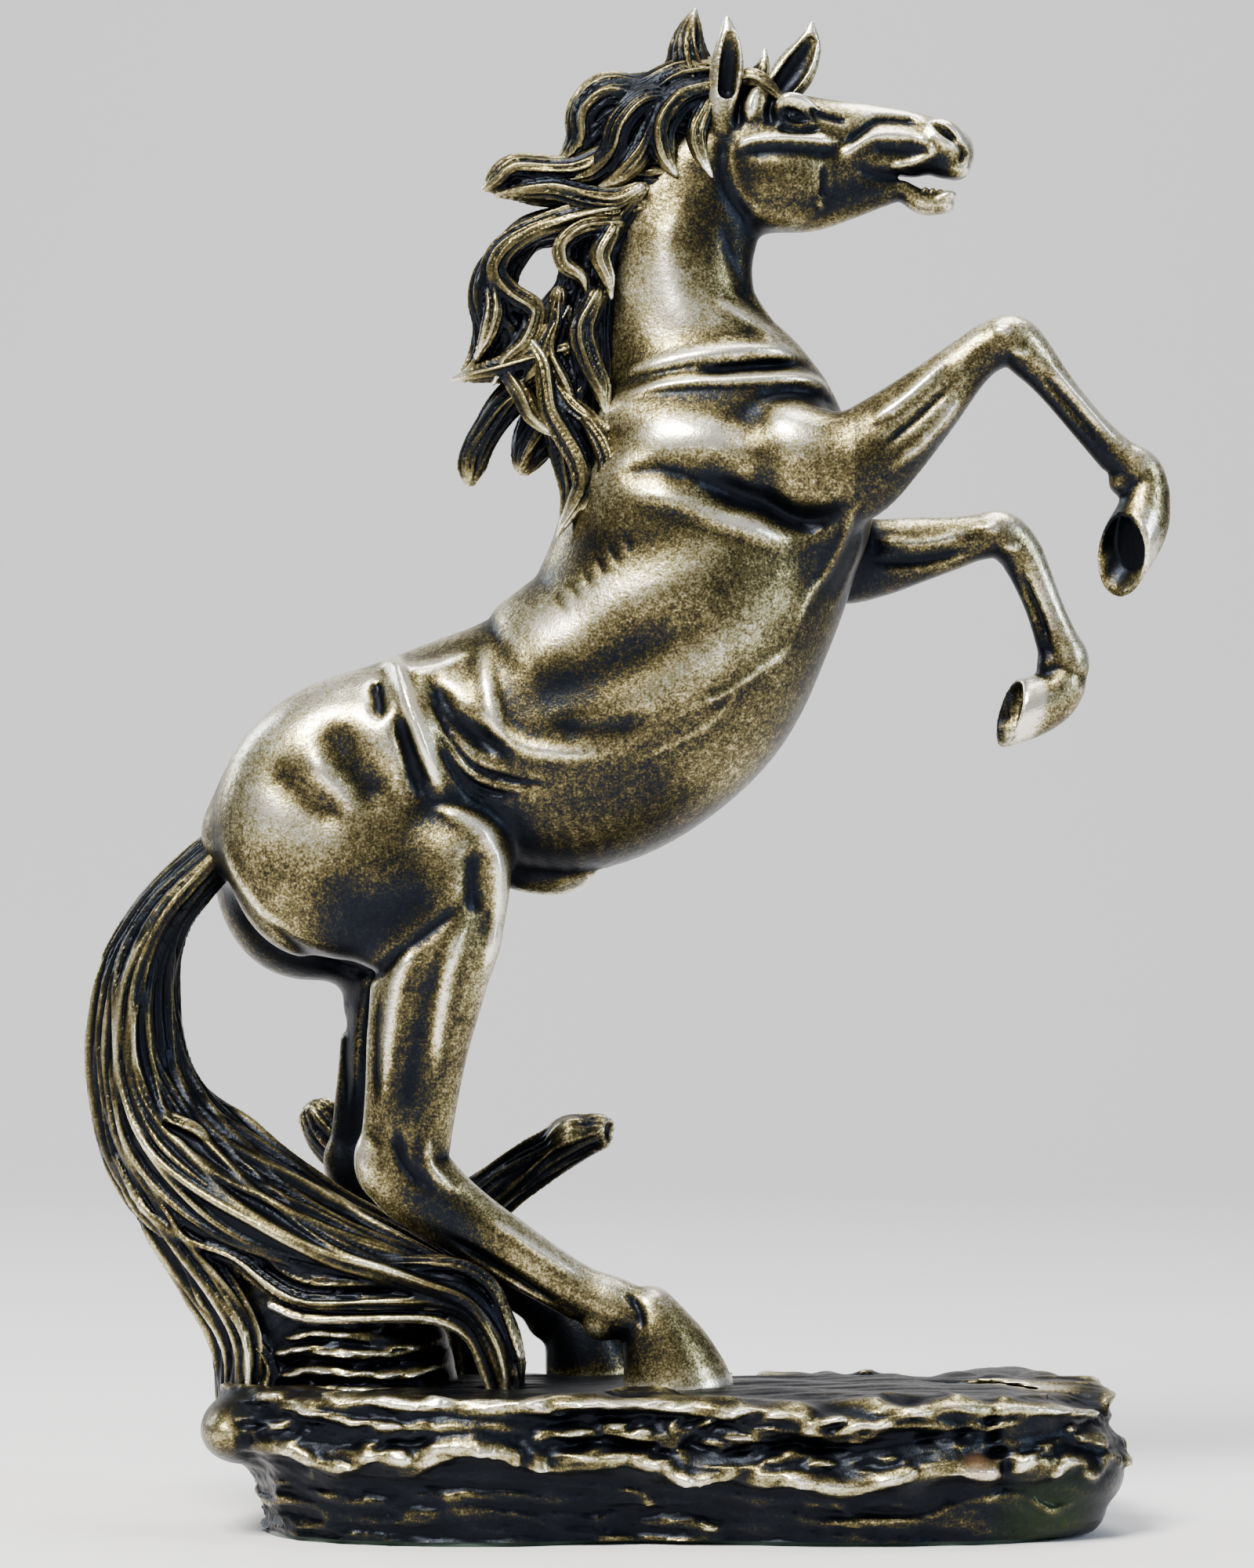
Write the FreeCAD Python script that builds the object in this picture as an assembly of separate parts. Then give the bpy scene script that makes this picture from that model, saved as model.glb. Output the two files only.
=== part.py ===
"""Rearing horse statuette in bronze on a driftwood base, built as foundry castings on a steel armature.

Frame: +Z up, +X the way the horse faces, +Y its left side. The origin is under the middle of the statuette.
A casting is a loft through oval stations, and neighbouring castings meet face to face on a shared seam plane,
where they are dowelled and welded. Units are millimetres.
"""

import FreeCAD, Part

import math
import os

V = FreeCAD.Vector
SIDE = V(0, 1, 0)
UP = V(0, 0, 1)

# ---------------------------------------------------------------- driving dimensions
FELT_THICKNESS = 1.2
PLATE_THICKNESS = 3.0
BASE_TOP = 37.0
CAST_WALL = 4.0

LEG_Y = 20.0
ROD_RADIUS = 2.0
ROD_BEND_RADIUS = 7.0
DOWEL_RADIUS = 1.6
DOWEL_LENGTH = 16.0
HEAD_DOWEL_RADIUS = 3.0
HEAD_DOWEL_LENGTH = 26.0
BACKING_RING_THICKNESS = 2.5

NUT_ACROSS_FLATS = 8.0
NUT_HEIGHT = 4.0
WASHER_RADIUS = 6.0
WASHER_THICKNESS = 1.0
SCREW_HEAD_RADIUS = 3.2
SCREW_HEAD_HEIGHT = 2.0
SCREW_SHANK_RADIUS = 1.5
SCREW_LENGTH = 12.0
SCREW_BOSS_RADIUS = 4.5
PLATE_CLEARANCE = 0.3

PLATE_BOTTOM = FELT_THICKNESS
PLATE_TOP = PLATE_BOTTOM + PLATE_THICKNESS
BOSS_TOP = BASE_TOP - CAST_WALL / 2
PAD_UNDERSIDE = BASE_TOP - 2 * CAST_WALL
ROD_FOOT = PAD_UNDERSIDE - WASHER_THICKNESS - NUT_HEIGHT - 1.0

# Each station below is (x, y, z, half depth across the piece, half width along Y).
# ---------------------------------------------------------------- the horse's body
BARREL = [
    (-103, 0, 172, 5, 7),
    (-97, 0, 174, 15, 17),
    (-86, 0, 177.5, 23.5, 25),
    (-66, 0, 187, 29.5, 28.5),
    (-43, 0, 197.5, 29.5, 27),
    (-17, 0, 201.5, 37, 30),
    (5, 0, 216.5, 38.5, 31.5),
    (15.5, 0, 235.5, 38.5, 30.5),
    (22.5, 0, 258, 39, 28),
    (23.4, 0, 273, 35.8, 25.5),
    (20.4, 0, 286, 31, 20.5),
]
NECK = [
    (17.4, 0, 297, 25, 16.8),
    (16, 0, 309, 21.5, 13.5),
    (14.4, 0, 321, 19.3, 11.4),
    (15.6, 0, 332, 18.3, 10.4),
    (19.4, 0, 341.5, 18.4, 10),
]
HEAD = [
    (26, 0, 348, 18, 10.6),
    (34, 0, 349.4, 18, 12.2),
    (43, 0, 347.6, 17.6, 12.6),
    (52, 0, 347, 16.4, 11),
    (61, 0, 348.6, 13.2, 8.8),
    (70, 0, 350.6, 10, 7.4),
    (78, 0, 351.4, 7.6, 7),
    (84, 0, 350.4, 6.2, 6.4),
    (88, 0, 349.6, 3.6, 4.2),
]
NECK_RING = [
    (21.5, 0, 281.6, 27.8, 17.6),
    (20.4, 0, 286, 26.4, 16),
    (19.2, 0, 290.4, 24, 14.4),
]
LOWER_JAW = [
    (59, 0, 343, 5, 6),
    (66, 0, 340.6, 4.6, 5.6),
    (72.5, 0, 339.4, 3.9, 5),
    (78.5, 0, 337.6, 3.2, 4.6),
    (84.2, 0, 337, 1.8, 3),
]
RIGHT_THIGH = [
    (-70, -12, 187, 29, 16),
    (-66.5, -17, 172, 33.5, 15.5),
    (-63, -19, 159, 31, 14.5),
    (-56, -LEG_Y, 147.5, 23, 12),
    (-51.5, -LEG_Y, 137, 15, 10),
]
RIGHT_HIND_SHANK = [
    (-52.6, -LEG_Y, 123.5, 13.1, 9),
    (-54.4, -LEG_Y, 108, 11.8, 8.2),
    (-54, -LEG_Y, 93.5, 11.8, 8.2),
    (-44, -LEG_Y, 82.4, 9.8, 7),
    (-27, -LEG_Y, 71.4, 7.6, 5.8),
    (-12.4, -LEG_Y, 62, 7, 5.8),
    (-1.5, -LEG_Y, 56.2, 8.2, 7),
    (5.5, -LEG_Y, 51, 7.4, 6.8),
]
RIGHT_HIND_HOOF = [
    (8, -LEG_Y, 48.6, 9, 8),
    (10.6, -LEG_Y, 43, 11.6, 10),
    (13, -LEG_Y, BASE_TOP, 13.4, 11.6),
]
LEFT_THIGH = [
    (-70, 12, 185, 29, 16),
    (-68.5, 17, 169, 32.5, 15.5),
    (-67, 19, 155, 29.5, 14.5),
    (-62, LEG_Y, 143, 21.5, 12),
    (-59, LEG_Y, 132.5, 14.4, 9.8),
]
LEFT_HIND_SHANK = [
    (-60.8, LEG_Y, 119, 12.8, 8.8),
    (-64, LEG_Y, 104, 11.4, 8.2),
    (-65.2, LEG_Y, 90.5, 11.4, 8),
    (-55.8, LEG_Y, 78.8, 9.4, 7),
    (-39, LEG_Y, 67, 7.3, 5.8),
    (-26.6, LEG_Y, 57.8, 6.8, 5.6),
    (-17, LEG_Y, 53, 7.8, 6.8),
    (-11, LEG_Y, 49.4, 7.2, 6.6),
]
LEFT_HIND_HOOF = [
    (-9.4, LEG_Y, 47.6, 8.4, 7.6),
    (-6.6, LEG_Y, 42.6, 10.8, 9.6),
    (-4.6, LEG_Y, BASE_TOP, 12.4, 11),
]
RIGHT_SHOULDER = [
    (22, -4, 262, 14, 9),
    (41, -17, 266, 16.5, 11),
    (57, -21.5, 270, 14.2, 9.4),
]
RIGHT_FORELEG = [
    (64, -22, 274.4, 12.2, 8.8),
    (75, -22, 284.2, 9.4, 7.4),
    (85, -22, 294.4, 6.9, 6),
    (95, -22, 300.4, 6.9, 6.2),
    (104, -22, 294.8, 5.3, 4.6),
    (115.2, -22, 281.8, 4.7, 3.8),
    (124.6, -22, 270.6, 4.9, 4),
    (130, -22, 263.4, 5.6, 4.8),
    (130.8, -22, 257.6, 5.6, 4.8),
]
RIGHT_FORE_HOOF = [
    (129.4, -22, 255, 7.2, 6.4),
    (126.8, -22, 250.4, 7.8, 7.4),
    (124, -22, 246.4, 8.2, 8),
]
LEFT_SHOULDER = [
    (22, 4, 254, 14, 9),
    (41, 17, 250.5, 15, 11),
    (57, 21.5, 247, 11.2, 9),
]
LEFT_FORELEG = [
    (64, 22, 247.2, 10.2, 8.4),
    (73, 22, 249, 9, 7.4),
    (83, 22, 251, 7.4, 6.4),
    (92, 22, 252.6, 6.4, 6),
    (98.6, 22, 251.6, 6.6, 6.2),
    (103.6, 22, 245, 5.3, 4.6),
    (108.6, 22, 235.6, 4.6, 3.8),
    (112.2, 22, 226.4, 4.8, 4),
    (114, 22, 219.6, 5.4, 4.8),
    (112.4, 22, 215, 5.4, 4.8),
]
LEFT_FORE_HOOF = [
    (110.4, 22, 213, 7, 6.4),
    (105.6, 22, 210, 7.8, 7.4),
    (101.6, 22, 207.6, 8.2, 8),
]
SHEATH = [
    (-8, 0, 178, 9, 6),
    (-15, 0, 171, 7, 5.4),
    (-21, 0, 166.4, 4.6, 4.4),
    (-24.4, 0, 164.4, 2.2, 2.4),
]
RIGHT_EAR = [
    (25, -7, 362, 4.2, 3.2),
    (25.4, -8, 368, 4.4, 2.6),
    (25.6, -8.6, 375, 3.8, 2),
    (25.4, -8.8, 381, 1.8, 1.2),
    (25.2, -8.8, 384.4, 0.5, 0.5),
]
LEFT_EAR = [
    (35, 7, 360, 4, 3.2),
    (39, 8, 366, 4.2, 2.6),
    (43, 8.6, 372.4, 3.8, 2.2),
    (46, 8.8, 378.4, 2.6, 1.6),
    (47.6, 8.8, 383.6, 0.8, 0.7),
]

# ---------------------------------------------------------------- mane and tail
MANE_LOCKS = {
    "poll_tuft": [
        (20, 1, 361, 4.5, 4),
        (18.4, 1, 369, 4.8, 4),
        (17, 1, 377, 3.6, 3),
        (16.6, 1, 385.6, 0.9, 0.9),
    ],
    "crest_lock": [
        (17, 0, 360, 8, 7),
        (6, 0, 362.6, 8.6, 8),
        (-4.5, 0, 359.6, 8, 8),
        (-11, 0, 351, 6.6, 7),
        (-14.6, 0, 342.5, 4, 5),
    ],
    "upper_curl": [
        (6, -1, 350, 8, 7),
        (-8, -2, 345.6, 5.6, 6),
        (-19, -2, 343, 4.4, 5),
        (-28, -2, 344, 4.6, 4.4),
        (-34.4, -2, 340, 3, 3.2),
    ],
    "middle_lock": [
        (4, 0, 334, 8, 7),
        (-11, 0, 335, 6.6, 6.4),
        (-23, 0, 331.6, 5, 5.6),
        (-32.4, 0, 325.4, 4.6, 5),
        (-36.4, 0, 315.4, 4.4, 4.6),
        (-35, 0, 305.6, 4, 4.2),
        (-29, 0, 301.6, 3, 3.2),
    ],
    "crest_fall": [
        (-1, -1, 331, 7, 6),
        (-7, -2, 320.6, 6, 6.4),
        (-11, -2, 309, 6.4, 7),
        (-13, -2, 297, 6.6, 7),
        (-12, -1, 285.6, 6, 6.6),
    ],
    "lower_curl": [
        (-13, 0, 307, 5, 6),
        (-23, 0, 304, 5, 5.6),
        (-32, 0, 298.4, 4.4, 4.8),
        (-39, 0, 294.4, 3, 3.4),
        (-43.4, 0, 291.6, 1.2, 1.4),
    ],
    "hanging_lock": [
        (-12, 3, 297, 5, 6),
        (-22, 3, 291.6, 5.2, 5.6),
        (-30, 3, 283.6, 5, 5),
        (-36.6, 3, 276, 4, 4.2),
        (-39.4, 3, 269.4, 3.4, 3.6),
    ],
    "side_lock": [
        (-20, -6, 299, 4, 3.6),
        (-19, -9, 288, 4, 3.4),
        (-13.6, -12, 278.6, 3.8, 3.2),
        (-8.4, -14, 270, 3.4, 2.8),
        (-10, -14, 261.6, 1.6, 1.6),
    ],
    "withers_lock": [
        (-10, 1, 289, 6, 6.6),
        (-17.6, 2, 280, 5.6, 6),
        (-17, 2, 270, 5.2, 5.6),
        (-13.6, 1, 260.6, 4.6, 5),
        (-17, 1, 251.6, 2, 2.4),
    ],
    "forelock": [
        (27, 0, 362, 3.4, 4.6),
        (33, 0, 366, 3, 3.6),
        (35.4, 0, 371.4, 1, 1.2),
    ],
}
TAIL_UPPER = [
    (-102, 0, 175, 6, 7),
    (-109.6, 0, 166, 6.6, 7.5),
    (-119.4, 0, 153, 7.4, 9),
    (-125, 0, 139, 9.6, 10.5),
    (-126, 0, 125, 11.8, 12),
    (-124.2, 0, 112, 13.4, 13),
]
TAIL_LOWER = [
    (-117.6, -1, 97, 16.4, 15),
    (-104, -3, 84, 19.5, 18),
    (-89, -5, 74, 19, 20),
    (-76, -7, 66, 13.5, 20),
]
TAIL_SKIRT = [
    (-62, -9, 60, 8, 20),
    (-50, -11, 57, 5.6, 20),
    (-41, -12, 54, 5, 20),
    (-35, -12, 48, 5, 19),
    (-32.5, -12, 42, 5, 18.5),
    (-32, -12, BASE_TOP, 5.4, 18),
]

# ---------------------------------------------------------------- driftwood and base
ROOT_STUMP = [
    (-70, -1, BASE_TOP, 23, 26),
    (-73, -1, 44, 22, 24),
    (-78, -2, 52, 21, 22),
    (-85, -2, 60, 20, 20),
    (-92, -2, 68, 16, 17),
]
LOG_TRUNK = [
    (-44, 38, BASE_TOP, 10, 8),
    (-46, 38, 48, 8, 7),
    (-48, 38, 62, 7.6, 6.6),
    (-47, 38, 73, 7.8, 6.6),
]
LOG_FORE_BRANCH = [
    (-50, 38, 66, 6.8, 6),
    (-40, 38, 79, 6.6, 5.8),
    (-27, 37, 89, 5.6, 5),
    (-15, 36, 96.4, 4.2, 4.2),
    (-7, 36, 99.2, 3.8, 3.8),
]
LOG_HIND_STUB = [
    (-44, 38, 68, 6.4, 6),
    (-56, 38, 80, 6.2, 5.8),
    (-70, 38, 92, 5.6, 5.2),
    (-80, 38, 100, 5.4, 5),
]
BASE_OUTLINE = [
    (-106, -14),
    (-96, -38),
    (-72, -52),
    (-40, -57.5),
    (0, -54),
    (40, -57.5),
    (84, -54),
    (112, -44),
    (127, -20),
    (122, 6),
    (114, 32),
    (92, 50),
    (50, 57.5),
    (0, 54),
    (-46, 57.5),
    (-84, 44),
    (-102, 18),
]
BASE_CENTRE = V(11, 0, 0)
# Height above the plate's underside, and how far the outline moves in (negative) along its radius
BASE_LEVELS = [(0.0, -15.0), (11.0, -7.0), (22.0, 0.0), (31.0, -4.0), (BASE_TOP - PLATE_BOTTOM, -9.0)]
BACK_LEDGE = [
    (97, 25, 30, 27, 21),
    (98, 26, 36, 24, 17),
    (98, 27, 40, 19, 12),
]
SCREW_PLACES = ((-66, -28), (-62, 30), (80, -26), (82, 24))

LEG_RODS = {
    "right_leg_rod": [(8, -LEG_Y, ROD_FOOT), (8, -LEG_Y, 48.4), (-49, -LEG_Y, 87), (-50, -LEG_Y, 158)],
    "left_leg_rod": [(-9, LEG_Y, ROD_FOOT), (-9, LEG_Y, 46), (-61, LEG_Y, 83.5), (-60, LEG_Y, 154)],
}
TAIL_ROD = [(-84, 0, ROD_FOOT), (-84, 0, 58), (-112, 0, 84)]
ROD_PLACES = ((8, -LEG_Y), (-9, LEG_Y), (-84, 0))
SECTION_DOWELS = [
    ((57, -21.5, 270), (7, -0.5, 4.4)),
    ((57, 21.5, 247), (7, 0.5, 0.2)),
    ((-103.4, 0, 173.4), (-7.6, 0, -9)),
    ((-124.2, 0, 112), (1.6, 0, -13)),
]
HEAD_DOWEL = ((22.4, 0, 344.6), (6.6, 0, 6.5))


# ---------------------------------------------------------------- lofts and rods
def ring(points):
    """A closed smooth wire through points."""
    curve = Part.BSplineCurve()
    curve.interpolate(Points=points, PeriodicFlag=True)
    return Part.Wire([curve.toShape()])


def oval(centre, along, half_depth, half_width, count=12):
    """An oval square to along, always begun on its upper or front side, so that a loft never twists."""
    side = (SIDE - along * SIDE.dot(along)).normalize()
    across = along.cross(side)
    turns = [2 * math.pi * i / count for i in range(count)]
    return ring([centre + across * (half_depth * math.cos(t)) + side * (half_width * math.sin(t)) for t in turns])


def directions(stations):
    """The direction of travel at each station, from its two neighbours."""
    centres = [V(*station[:3]) for station in stations]
    last = len(centres) - 1
    return [(centres[min(i + 1, last)] - centres[max(i - 1, 0)]).normalize() for i in range(last + 1)]


def loft(stations, along=None):
    along = along or directions(stations)
    rings = [oval(V(*station[:3]), way, *station[3:]) for station, way in zip(stations, along)]
    return Part.makeLoft(rings, True, False)


def stacked(stations):
    """A loft whose rings are all level, for what stands flat and leans little."""
    return loft(stations, [UP] * len(stations))


def chain(*parts, foot=False):
    """Lofts in line. Each one after the first begins on the last station of the one before: their seam.

    With foot, the last one ends level, to stand flat.
    """
    whole = [station for part in parts for station in part]
    along = directions(whole)
    if foot:
        along[-1] = UP * -1
    solids, start = [], 0
    for part in parts:
        stop = start + len(part)
        first = max(start - 1, 0)
        solids.append(loft(whole[first:stop], along[first:stop]))
        start = stop
    return solids


def thinner(stations, wall):
    """The same stations drawn in by a wall thickness."""
    return [(x, y, z, depth - wall, width - wall) for x, y, z, depth, width in stations]


def fused(pieces):
    whole = pieces[0]
    for piece in pieces[1:]:
        whole = whole.fuse(piece)
    return whole


def rod(points, radius):
    """A round bar through points, with a tangent arc at each corner."""
    places = [V(*point) for point in points]
    edges, start = [], places[0]
    for before, corner, after in zip(places, places[1:], places[2:]):
        inward, outward = (before - corner).normalize(), (after - corner).normalize()
        half_angle = math.acos(inward.dot(outward)) / 2
        reach = ROD_BEND_RADIUS / math.tan(half_angle)
        to_arc = ROD_BEND_RADIUS / math.sin(half_angle) - ROD_BEND_RADIUS
        enter, leave = corner + inward * reach, corner + outward * reach
        middle = corner + (inward + outward).normalize() * to_arc
        edges.append(Part.LineSegment(start, enter).toShape())
        edges.append(Part.Arc(enter, middle, leave).toShape())
        start = leave
    edges.append(Part.LineSegment(start, places[-1]).toShape())
    profile = Part.Wire([Part.makeCircle(radius, places[0], places[1] - places[0])])
    return Part.Wire(edges).makePipeShell([profile], True, False)


def bar(centre, along, length, radius):
    """A straight round bar about its middle."""
    way = V(*along).normalize()
    return Part.makeCylinder(radius, length, V(*centre) - way * (length / 2), way)


# ---------------------------------------------------------------- the base and what closes it
def base_ring(height, inset):
    """The base's outline at one height, moved along its radius from the middle."""
    points = []
    for x, y in BASE_OUTLINE:
        radial = V(x, y, 0) - BASE_CENTRE
        points.append(BASE_CENTRE + radial * (1 + inset / radial.Length) + V(0, 0, height))
    return ring(points)


def base_block(levels):
    return Part.makeLoft([base_ring(PLATE_BOTTOM + height, inset) for height, inset in levels], True, False)


def base_casting():
    """A hollow slab, open below, with screw bosses and a pad under its roof for each rod."""
    hollow = [(height, inset - CAST_WALL) for height, inset in BASE_LEVELS]
    hollow[-1] = (hollow[-1][0] - CAST_WALL, hollow[-1][1])
    shell = base_block(BASE_LEVELS).cut(base_block(hollow))
    bosses = [
        Part.makeCylinder(SCREW_BOSS_RADIUS, BOSS_TOP - PLATE_TOP, V(x, y, PLATE_TOP)) for x, y in SCREW_PLACES
    ]
    pads = [
        Part.makeCylinder(WASHER_RADIUS + 2, BOSS_TOP - PAD_UNDERSIDE, V(x, y, PAD_UNDERSIDE))
        for x, y in ROD_PLACES
    ]
    ledge = stacked(BACK_LEDGE).cut(base_block(hollow))
    casting = fused([shell, ledge] + bosses + pads)
    for x, y in SCREW_PLACES:
        casting = casting.cut(Part.makeCylinder(SCREW_SHANK_RADIUS, SCREW_LENGTH, V(x, y, PLATE_BOTTOM)))
    return casting


def screw(x, y):
    place = V(x, y, PLATE_BOTTOM)
    head = Part.makeCone(SCREW_HEAD_RADIUS, SCREW_SHANK_RADIUS, SCREW_HEAD_HEIGHT, place)
    return fused([head, Part.makeCylinder(SCREW_SHANK_RADIUS, SCREW_LENGTH, place)])


def base_plate():
    """A steel plate let into the open underside, countersunk for its screws."""
    outline = base_ring(PLATE_BOTTOM, BASE_LEVELS[0][1] - CAST_WALL - PLATE_CLEARANCE)
    plate = Part.Face(outline).extrude(V(0, 0, PLATE_THICKNESS))
    for x, y in SCREW_PLACES:
        plate = plate.cut(screw(x, y))
    return plate


def felt_sheet():
    return Part.Face(base_ring(0, BASE_LEVELS[0][1])).extrude(V(0, 0, FELT_THICKNESS))


def washer(x, y):
    place = V(x, y, PAD_UNDERSIDE - WASHER_THICKNESS)
    disc = Part.makeCylinder(WASHER_RADIUS, WASHER_THICKNESS, place)
    return disc.cut(Part.makeCylinder(ROD_RADIUS, WASHER_THICKNESS, place))


def nut(x, y):
    place = V(x, y, PAD_UNDERSIDE - WASHER_THICKNESS - NUT_HEIGHT)
    reach = NUT_ACROSS_FLATS / math.sqrt(3)
    turns = [math.radians(60 * i) for i in range(7)]
    outline = Part.makePolygon([place + V(reach * math.cos(t), reach * math.sin(t), 0) for t in turns])
    return Part.Face(outline).extrude(V(0, 0, NUT_HEIGHT)).cut(Part.makeCylinder(ROD_RADIUS, NUT_HEIGHT, place))


# ---------------------------------------------------------------- the whole assembly
def body_castings():
    """The hollow torso and neck, the solid head and legs, and the ring that backs the neck weld."""
    barrel, neck, head = chain(BARREL, NECK, HEAD)
    right_thigh, right_shank, right_hoof = chain(RIGHT_THIGH, RIGHT_HIND_SHANK, RIGHT_HIND_HOOF, foot=True)
    left_thigh, left_shank, left_hoof = chain(LEFT_THIGH, LEFT_HIND_SHANK, LEFT_HIND_HOOF, foot=True)
    right_shoulder, right_arm, right_fore_hoof = chain(RIGHT_SHOULDER, RIGHT_FORELEG, RIGHT_FORE_HOOF)
    left_shoulder, left_arm, left_fore_hoof = chain(LEFT_SHOULDER, LEFT_FORELEG, LEFT_FORE_HOOF)
    along = directions(BARREL + NECK)
    hollow = slice(3, len(BARREL) + len(NECK) - 1)
    cavity = loft(thinner((BARREL + NECK)[hollow], CAST_WALL), along[hollow])
    torso = fused([barrel, right_thigh, left_thigh, right_shoulder, left_shoulder, loft(SHEATH)])
    return {
        "torso_casting": torso.cut(cavity),
        "neck_casting": neck.cut(cavity),
        "neck_backing_ring": loft(NECK_RING).cut(loft(thinner(NECK_RING, BACKING_RING_THICKNESS))),
        "head_casting": fused([head, loft(LOWER_JAW)]),
        "right_hind_leg": fused([right_shank, right_hoof]),
        "left_hind_leg": fused([left_shank, left_hoof]),
        "right_foreleg": fused([right_arm, right_fore_hoof]).cut(barrel),
        "left_foreleg": fused([left_arm, left_fore_hoof]).cut(barrel),
        "right_ear": loft(RIGHT_EAR),
        "left_ear": loft(LEFT_EAR),
    }


def hair_and_wood():
    """The locks of the mane, the tail in three castings, and the driftwood behind the hind legs."""
    upper, lower, skirt = chain(TAIL_UPPER, TAIL_LOWER, TAIL_SKIRT, foot=True)
    nodes = {"mane_" + name: loft(stations) for name, stations in MANE_LOCKS.items()}
    nodes["tail_upper"] = upper
    nodes["tail_lower"] = lower
    nodes["tail_skirt"] = skirt
    nodes["root_stump"] = stacked(ROOT_STUMP)
    nodes["driftwood_log"] = fused([stacked(LOG_TRUNK), loft(LOG_FORE_BRANCH), loft(LOG_HIND_STUB)])
    return nodes


def hardware():
    """Steel inside: a rod up each hind leg and the tail, their nuts and washers, and the section dowels."""
    nodes = {name: rod(points, ROD_RADIUS) for name, points in LEG_RODS.items()}
    nodes["tail_rod"] = rod(TAIL_ROD, ROD_RADIUS)
    nodes["section_dowels"] = Part.makeCompound(
        [bar(centre, way, DOWEL_LENGTH, DOWEL_RADIUS) for centre, way in SECTION_DOWELS]
    )
    nodes["head_dowel"] = bar(*HEAD_DOWEL, HEAD_DOWEL_LENGTH, HEAD_DOWEL_RADIUS)
    nodes["armature_washers"] = Part.makeCompound([washer(x, y) for x, y in ROD_PLACES])
    nodes["armature_nuts"] = Part.makeCompound([nut(x, y) for x, y in ROD_PLACES])
    nodes["base_plate_screws"] = Part.makeCompound([screw(x, y) for x, y in SCREW_PLACES])
    return nodes


def gives_way_to(name):
    """The castings that a casting is trimmed against, where it would otherwise run into them."""
    if name.startswith("mane_"):
        locks = ["mane_" + lock for lock in MANE_LOCKS]
        return ["torso_casting", "neck_casting", "head_casting"] + locks[: locks.index(name)]
    return {
        "right_ear": ["head_casting"],
        "left_ear": ["head_casting"],
        "tail_upper": ["torso_casting"],
        "root_stump": ["tail_lower", "tail_skirt"],
    }.get(name, [])


def fitted(castings, bars):
    """Each casting trimmed against its neighbours and bored for the rods and dowels that it holds."""
    done = {}
    for name, shape in castings.items():
        for other in [done[neighbour] for neighbour in gives_way_to(name)] + bars:
            if shape.BoundBox.intersect(other.BoundBox):
                shape = shape.cut(other)
        done[name] = max(shape.Solids, key=lambda solid: solid.Volume)
    return done


def build():
    steel = hardware()
    bars = [steel[name] for name in (*LEG_RODS, "tail_rod", "head_dowel")] + steel["section_dowels"].Solids
    castings = {"base_casting": base_casting(), **body_castings(), **hair_and_wood()}
    return {**fitted(castings, bars), "base_plate": base_plate(), "felt_sheet": felt_sheet(), **steel}


os.makedirs("parts", exist_ok=True)
for name, shape in build().items():
    shape.exportStep(f"parts/{name}.step")
    box = shape.BoundBox
    print(
        f"{name:20s} valid {shape.isValid()} solids {len(shape.Solids)} volume {shape.Volume / 1000:8.2f} cm3"
        f"  x {box.XMin:7.1f} {box.XMax:7.1f}  y {box.YMin:6.1f} {box.YMax:6.1f}  z {box.ZMin:6.1f} {box.ZMax:6.1f}"
    )
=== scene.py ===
"""The rearing horse statuette's visual model, sculpted in a field of distances and rubbed with patina.

Shapes are given in millimetres, in the CAD model's frame, and each mesh is scaled to metres as it is made.
Materials, lights and the camera are given in metres. A piece is pressed out of Clay: a block of signed
distances to which tubes and blobs are added, and in which strokes are raised or cut. The block's surface
becomes the mesh.
"""

import math
import random

import bmesh
import bpy
import numpy as np
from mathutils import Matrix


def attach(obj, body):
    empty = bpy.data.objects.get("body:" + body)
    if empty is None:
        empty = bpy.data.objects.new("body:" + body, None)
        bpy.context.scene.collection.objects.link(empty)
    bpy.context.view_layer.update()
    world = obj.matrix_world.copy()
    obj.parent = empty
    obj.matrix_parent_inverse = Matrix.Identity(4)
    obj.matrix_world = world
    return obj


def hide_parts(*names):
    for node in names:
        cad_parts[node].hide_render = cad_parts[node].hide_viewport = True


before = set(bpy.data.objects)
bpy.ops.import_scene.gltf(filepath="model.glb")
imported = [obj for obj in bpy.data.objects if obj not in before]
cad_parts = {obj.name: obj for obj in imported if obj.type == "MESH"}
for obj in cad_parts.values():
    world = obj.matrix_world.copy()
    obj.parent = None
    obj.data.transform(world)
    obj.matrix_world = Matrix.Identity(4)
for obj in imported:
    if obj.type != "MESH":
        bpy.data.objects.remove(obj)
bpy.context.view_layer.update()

import openvdb
from mathutils import Vector

MM = 0.001
NEAR_SIDE, FAR_SIDE = -1, 1
DOWN = (0, 0, -1)
BASE_TOP = 37.0
PLATE_BOTTOM = 1.2


# ================================================================ the sculpting tools
# An empty block's distance from any surface, and the most that the ends and joints of a tube are rounded
EMPTY = 30.0
JOINT_ROUNDING = 14.0
# The thinnest a tube gets, and the shortest length of one that counts
THINNEST = 0.05
SHORTEST = 1e-6
# How far the work on a shape goes beyond it, and how thick a skin of the field is meshed, in cells
MARGIN_CELLS = 1.5
SKIN_CELLS = 4
# Softened copies of a block have cells this many times as long
COARSER = 2
# How deep a tube's strands are cut, and how far they wander round it
STRAND_CUT = 0.95
STRAND_WANDER = 0.35
# The width of the strip over which a relief fades in beside the middle of the horse
SIDE_FADE = 6
# A stroke is left out beyond this many of its widths
STROKE_REACH = 2.5
# How many waves a ripple adds up
RIPPLE_WAVES = 7


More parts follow.
